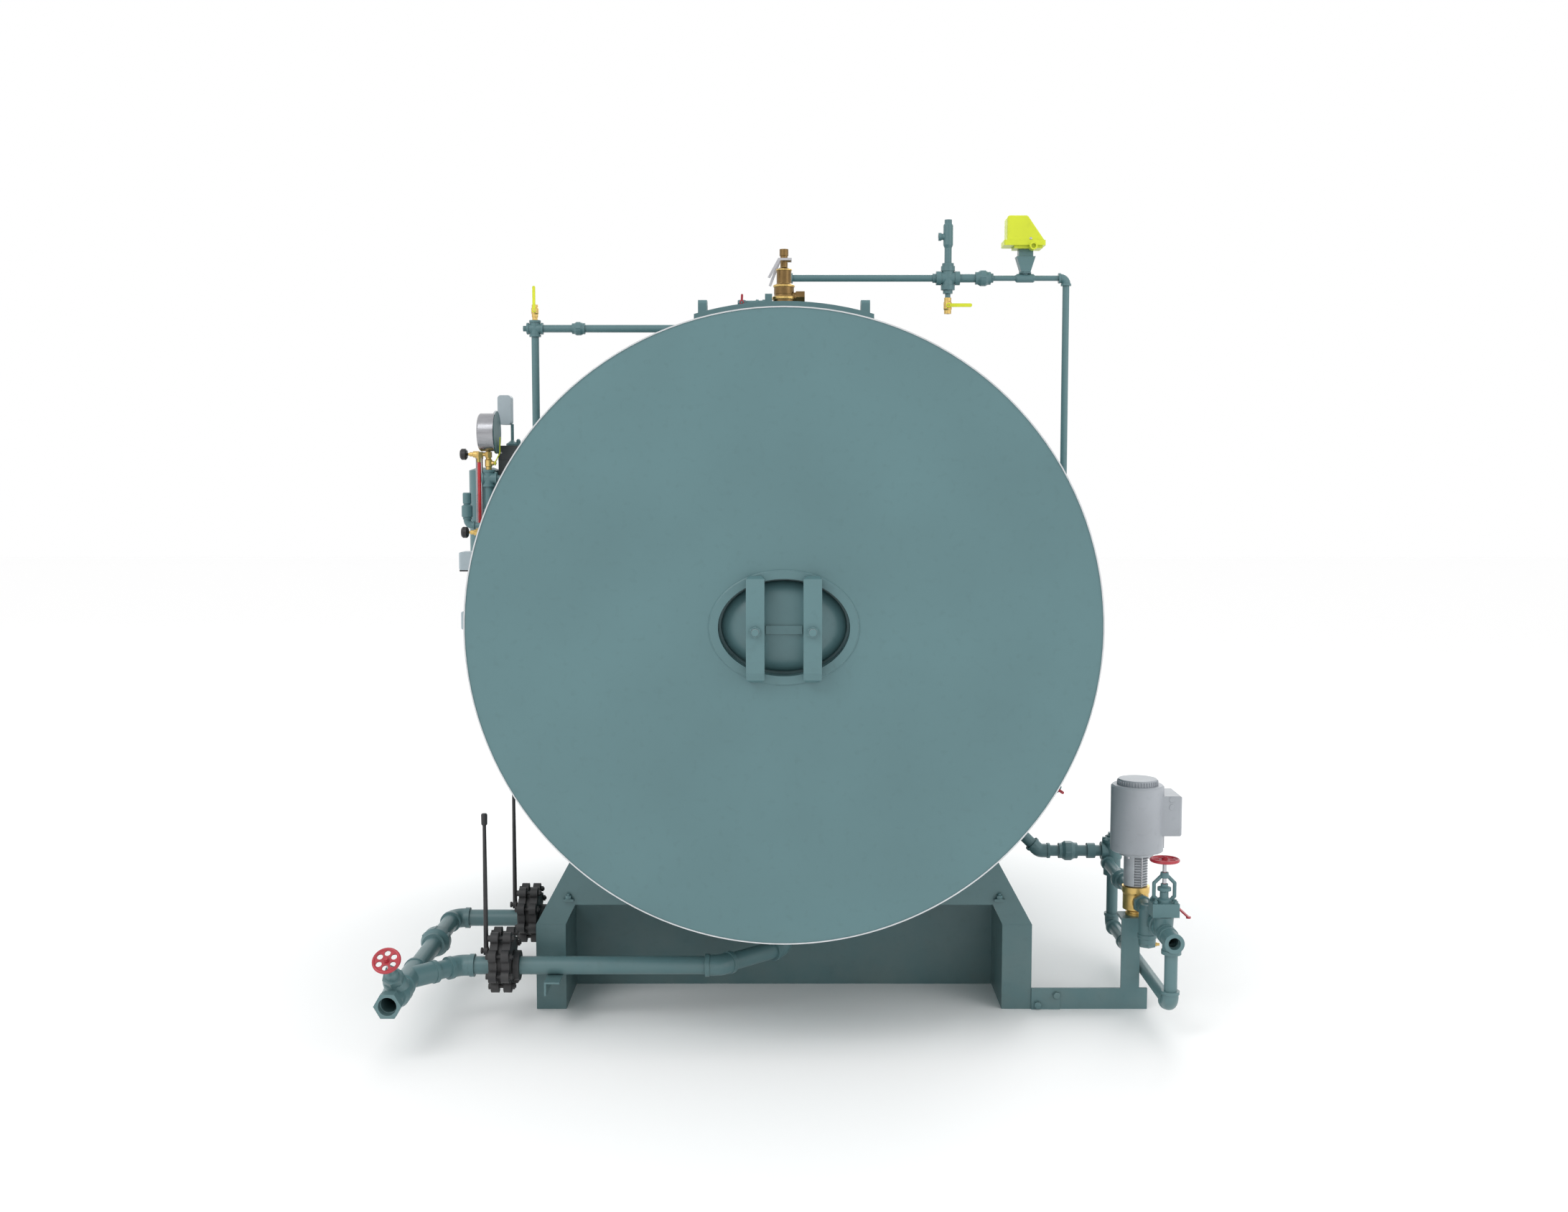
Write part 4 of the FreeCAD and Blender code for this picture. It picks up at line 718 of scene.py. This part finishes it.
# %% [markdown]
# ## Pressure gauge
# The gauge is a flat round case on the riser. It has a painted back plate towards the
# boiler and a rolled bezel around the dial on the other side. The dial has a ring of
# ticks and a needle, and no lettering.

# %% Back plate, bezel, dial, needle
gauge_low, gauge_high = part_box("pressure_gauge")
gauge_mid = (gauge_low + gauge_high) / 2
back = seat(turned([(0.0, 0.0865), (0.0012, 0.0868), (0.0022, 0.0855)], 64),
            (gauge_high.x, gauge_mid.y, gauge_mid.z), (1, 0, 0))
finished(back, "gauge_back", "teal_paint")
back.data.materials[0] = FINISHES["dark_teal_and_painted_shade"]
dial = seat(turned([(0.0, 0.066), (0.0008, 0.0655)], 64),
            (gauge_low.x + 0.0006, gauge_mid.y, gauge_mid.z), (-1, 0, 0))
finished(dial, "gauge_dial", "grey_plastic")
clear()
bpy.ops.mesh.primitive_torus_add(major_radius=0.0700, minor_radius=0.0036,
                                 major_segments=72, minor_segments=10)
bezel = bpy.context.object
seat(bezel, (gauge_low.x + 0.0006, gauge_mid.y, gauge_mid.z), (-1, 0, 0))
finished(bezel, "gauge_bezel", "chrome_case")
TICKS = 21
TICK_R = 0.058
FIRST_TICK = -45.0
DIAL_SWEEP = 270.0
tick = block(0.0012, 0.0060, 0.0004)
marks = []
for k in range(TICKS):
    turn = math.radians(FIRST_TICK + DIAL_SWEEP * k / (TICKS - 1))
    y = gauge_mid.y - TICK_R * math.cos(turn)
    z = gauge_mid.z + TICK_R * math.sin(turn)
    marks.append(((gauge_low.x - 0.0002, y, z), (-1, 0, 0), turn + math.pi / 2))
finished(spread(tick, marks), "gauge_ticks", "black_plastic")
needle = join([block(0.0022, 0.072, 0.0006), turned([(0.0, 0.005), (0.0025, 0.0045)], 20)])
seat(needle, (gauge_low.x - 0.0006, gauge_mid.y, gauge_mid.z), (-1, 0, 0), 0.7)
finished(needle, "gauge_needle", "black_plastic")

# %% [markdown]
# ## Water column details
# Four thin rods stand around the gauge glass and guard it from knocks. The dark control
# housing has a lid with a seam around it and four screws on its face.

# %% Guard rods, housing lid
glass_low, glass_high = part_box("gauge_glass")
glass_mid = (glass_low + glass_high) / 2
guards = spread(turned([(glass_low.z + 0.004, 0.0024), (glass_high.z - 0.004, 0.0024)], 12),
                [((glass_mid.x + sx * 0.0105, glass_mid.y + sy * 0.0105, 0.0), (0, 0, 1), 0.0)
                 for sx in (-1, 1) for sy in (-1, 1)])
finished(guards, "glass_guard_rods", "bright_steel")

control_low, control_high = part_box("control_housing")
control_mid = (control_low + control_high) / 2
LID_H = 0.060
SEAM_OUT = 0.002
seam = rounded(block(control_high.x - control_low.x + SEAM_OUT,
                     control_high.y - control_low.y + SEAM_OUT, 0.006), 0.001, 1)
seat(seam, (control_mid.x, control_mid.y, control_high.z - LID_H))
finished(seam, "housing_seam", "dark_paint")
SCREW_IN = 0.012
SCREW_DROPS = (0.030, 0.225)
housing_screws = spread(turned([(0.0, 0.0040), (0.0018, 0.0036)], 16),
                        [((x, control_low.y, control_high.z - drop), (0, -1, 0), 0.0)
                         for x in (control_low.x + SCREW_IN, control_high.x - SCREW_IN)
                         for drop in SCREW_DROPS])
finished(housing_screws, "housing_screws", "bright_steel")

# %% [markdown]
# ## Small boxes on the left and the switch cover
# The upper box has a dark base, with a brass gland and a small red cap under it. The
# yellow cover is held by a screw in the middle of its front edge.

# %% Box base, gland, red cap, cover screw
boxes_low, boxes_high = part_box("side_boxes")
box_x = boxes_low.x + 0.052
box_y = (boxes_low.y + boxes_high.y) / 2
box_foot = boxes_high.z - 0.067
base_strip = rounded(block(0.100, 0.086, 0.006), 0.0015, 1)
seat(base_strip, (box_x, box_y, box_foot - 0.001))
finished(base_strip, "side_box_base", "black_plastic")
gland = turned([(0.0, 0.0090), (0.009, 0.0090), (0.009, 0.0062), (0.019, 0.0062)], 20)
seat(gland, (box_x, box_y, box_foot), (0, 0, -1))
finished(gland, "side_box_gland", "brass")
lamp_cap = turned([(0.0, 0.0060), (0.005, 0.0058), (0.0075, 0.0040)], 20)
seat(lamp_cap, (box_x + 0.022, box_y, box_foot), (0, 0, -1))
finished(lamp_cap, "side_box_lamp", "red_glass")

cover_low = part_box("switch_cover")[0]
cover_screw = turned([(0.0, 0.0052), (0.0020, 0.0050), (0.0028, 0.0036)], 20)
COVER_SCREW = Vector((0.103, 0.0262, 0.046))
seat(cover_screw, cover_low + COVER_SCREW, (0, -1, 0))
finished(cover_screw, "cover_screw", "bright_steel")

# %% [markdown]
# ## Rings of the safety valve
# The bronze body of the safety valve is screwed together from three parts. Where they
# meet there are wrench flats that shine more than the rest. Each ring is a lathe shape
# with sixteen sides, left with flat faces.

# %% Bright wrench rings
valve_box_low, valve_box_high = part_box("safety_valve")
SAFETY_Y = (valve_box_low.y + valve_box_high.y) / 2
SAFETY_BASE = valve_box_high.z - 0.206


def wrench_ring(height, radius, tall, name):
    ring = turned([(0.0, radius * 0.93), (tall * 0.22, radius), (tall * 0.78, radius),
                   (tall, radius * 0.93)], 16)
    seat(ring, (0.0, SAFETY_Y, height))
    return finished(ring, name, "brass", angle=5.0)


wrench_ring(SAFETY_BASE + 0.036, 0.0405, 0.012, "valve_ring_low")
wrench_ring(SAFETY_BASE + 0.078, 0.0365, 0.009, "valve_ring_mid")
wrench_ring(SAFETY_BASE + 0.134, 0.0272, 0.006, "valve_ring_top")
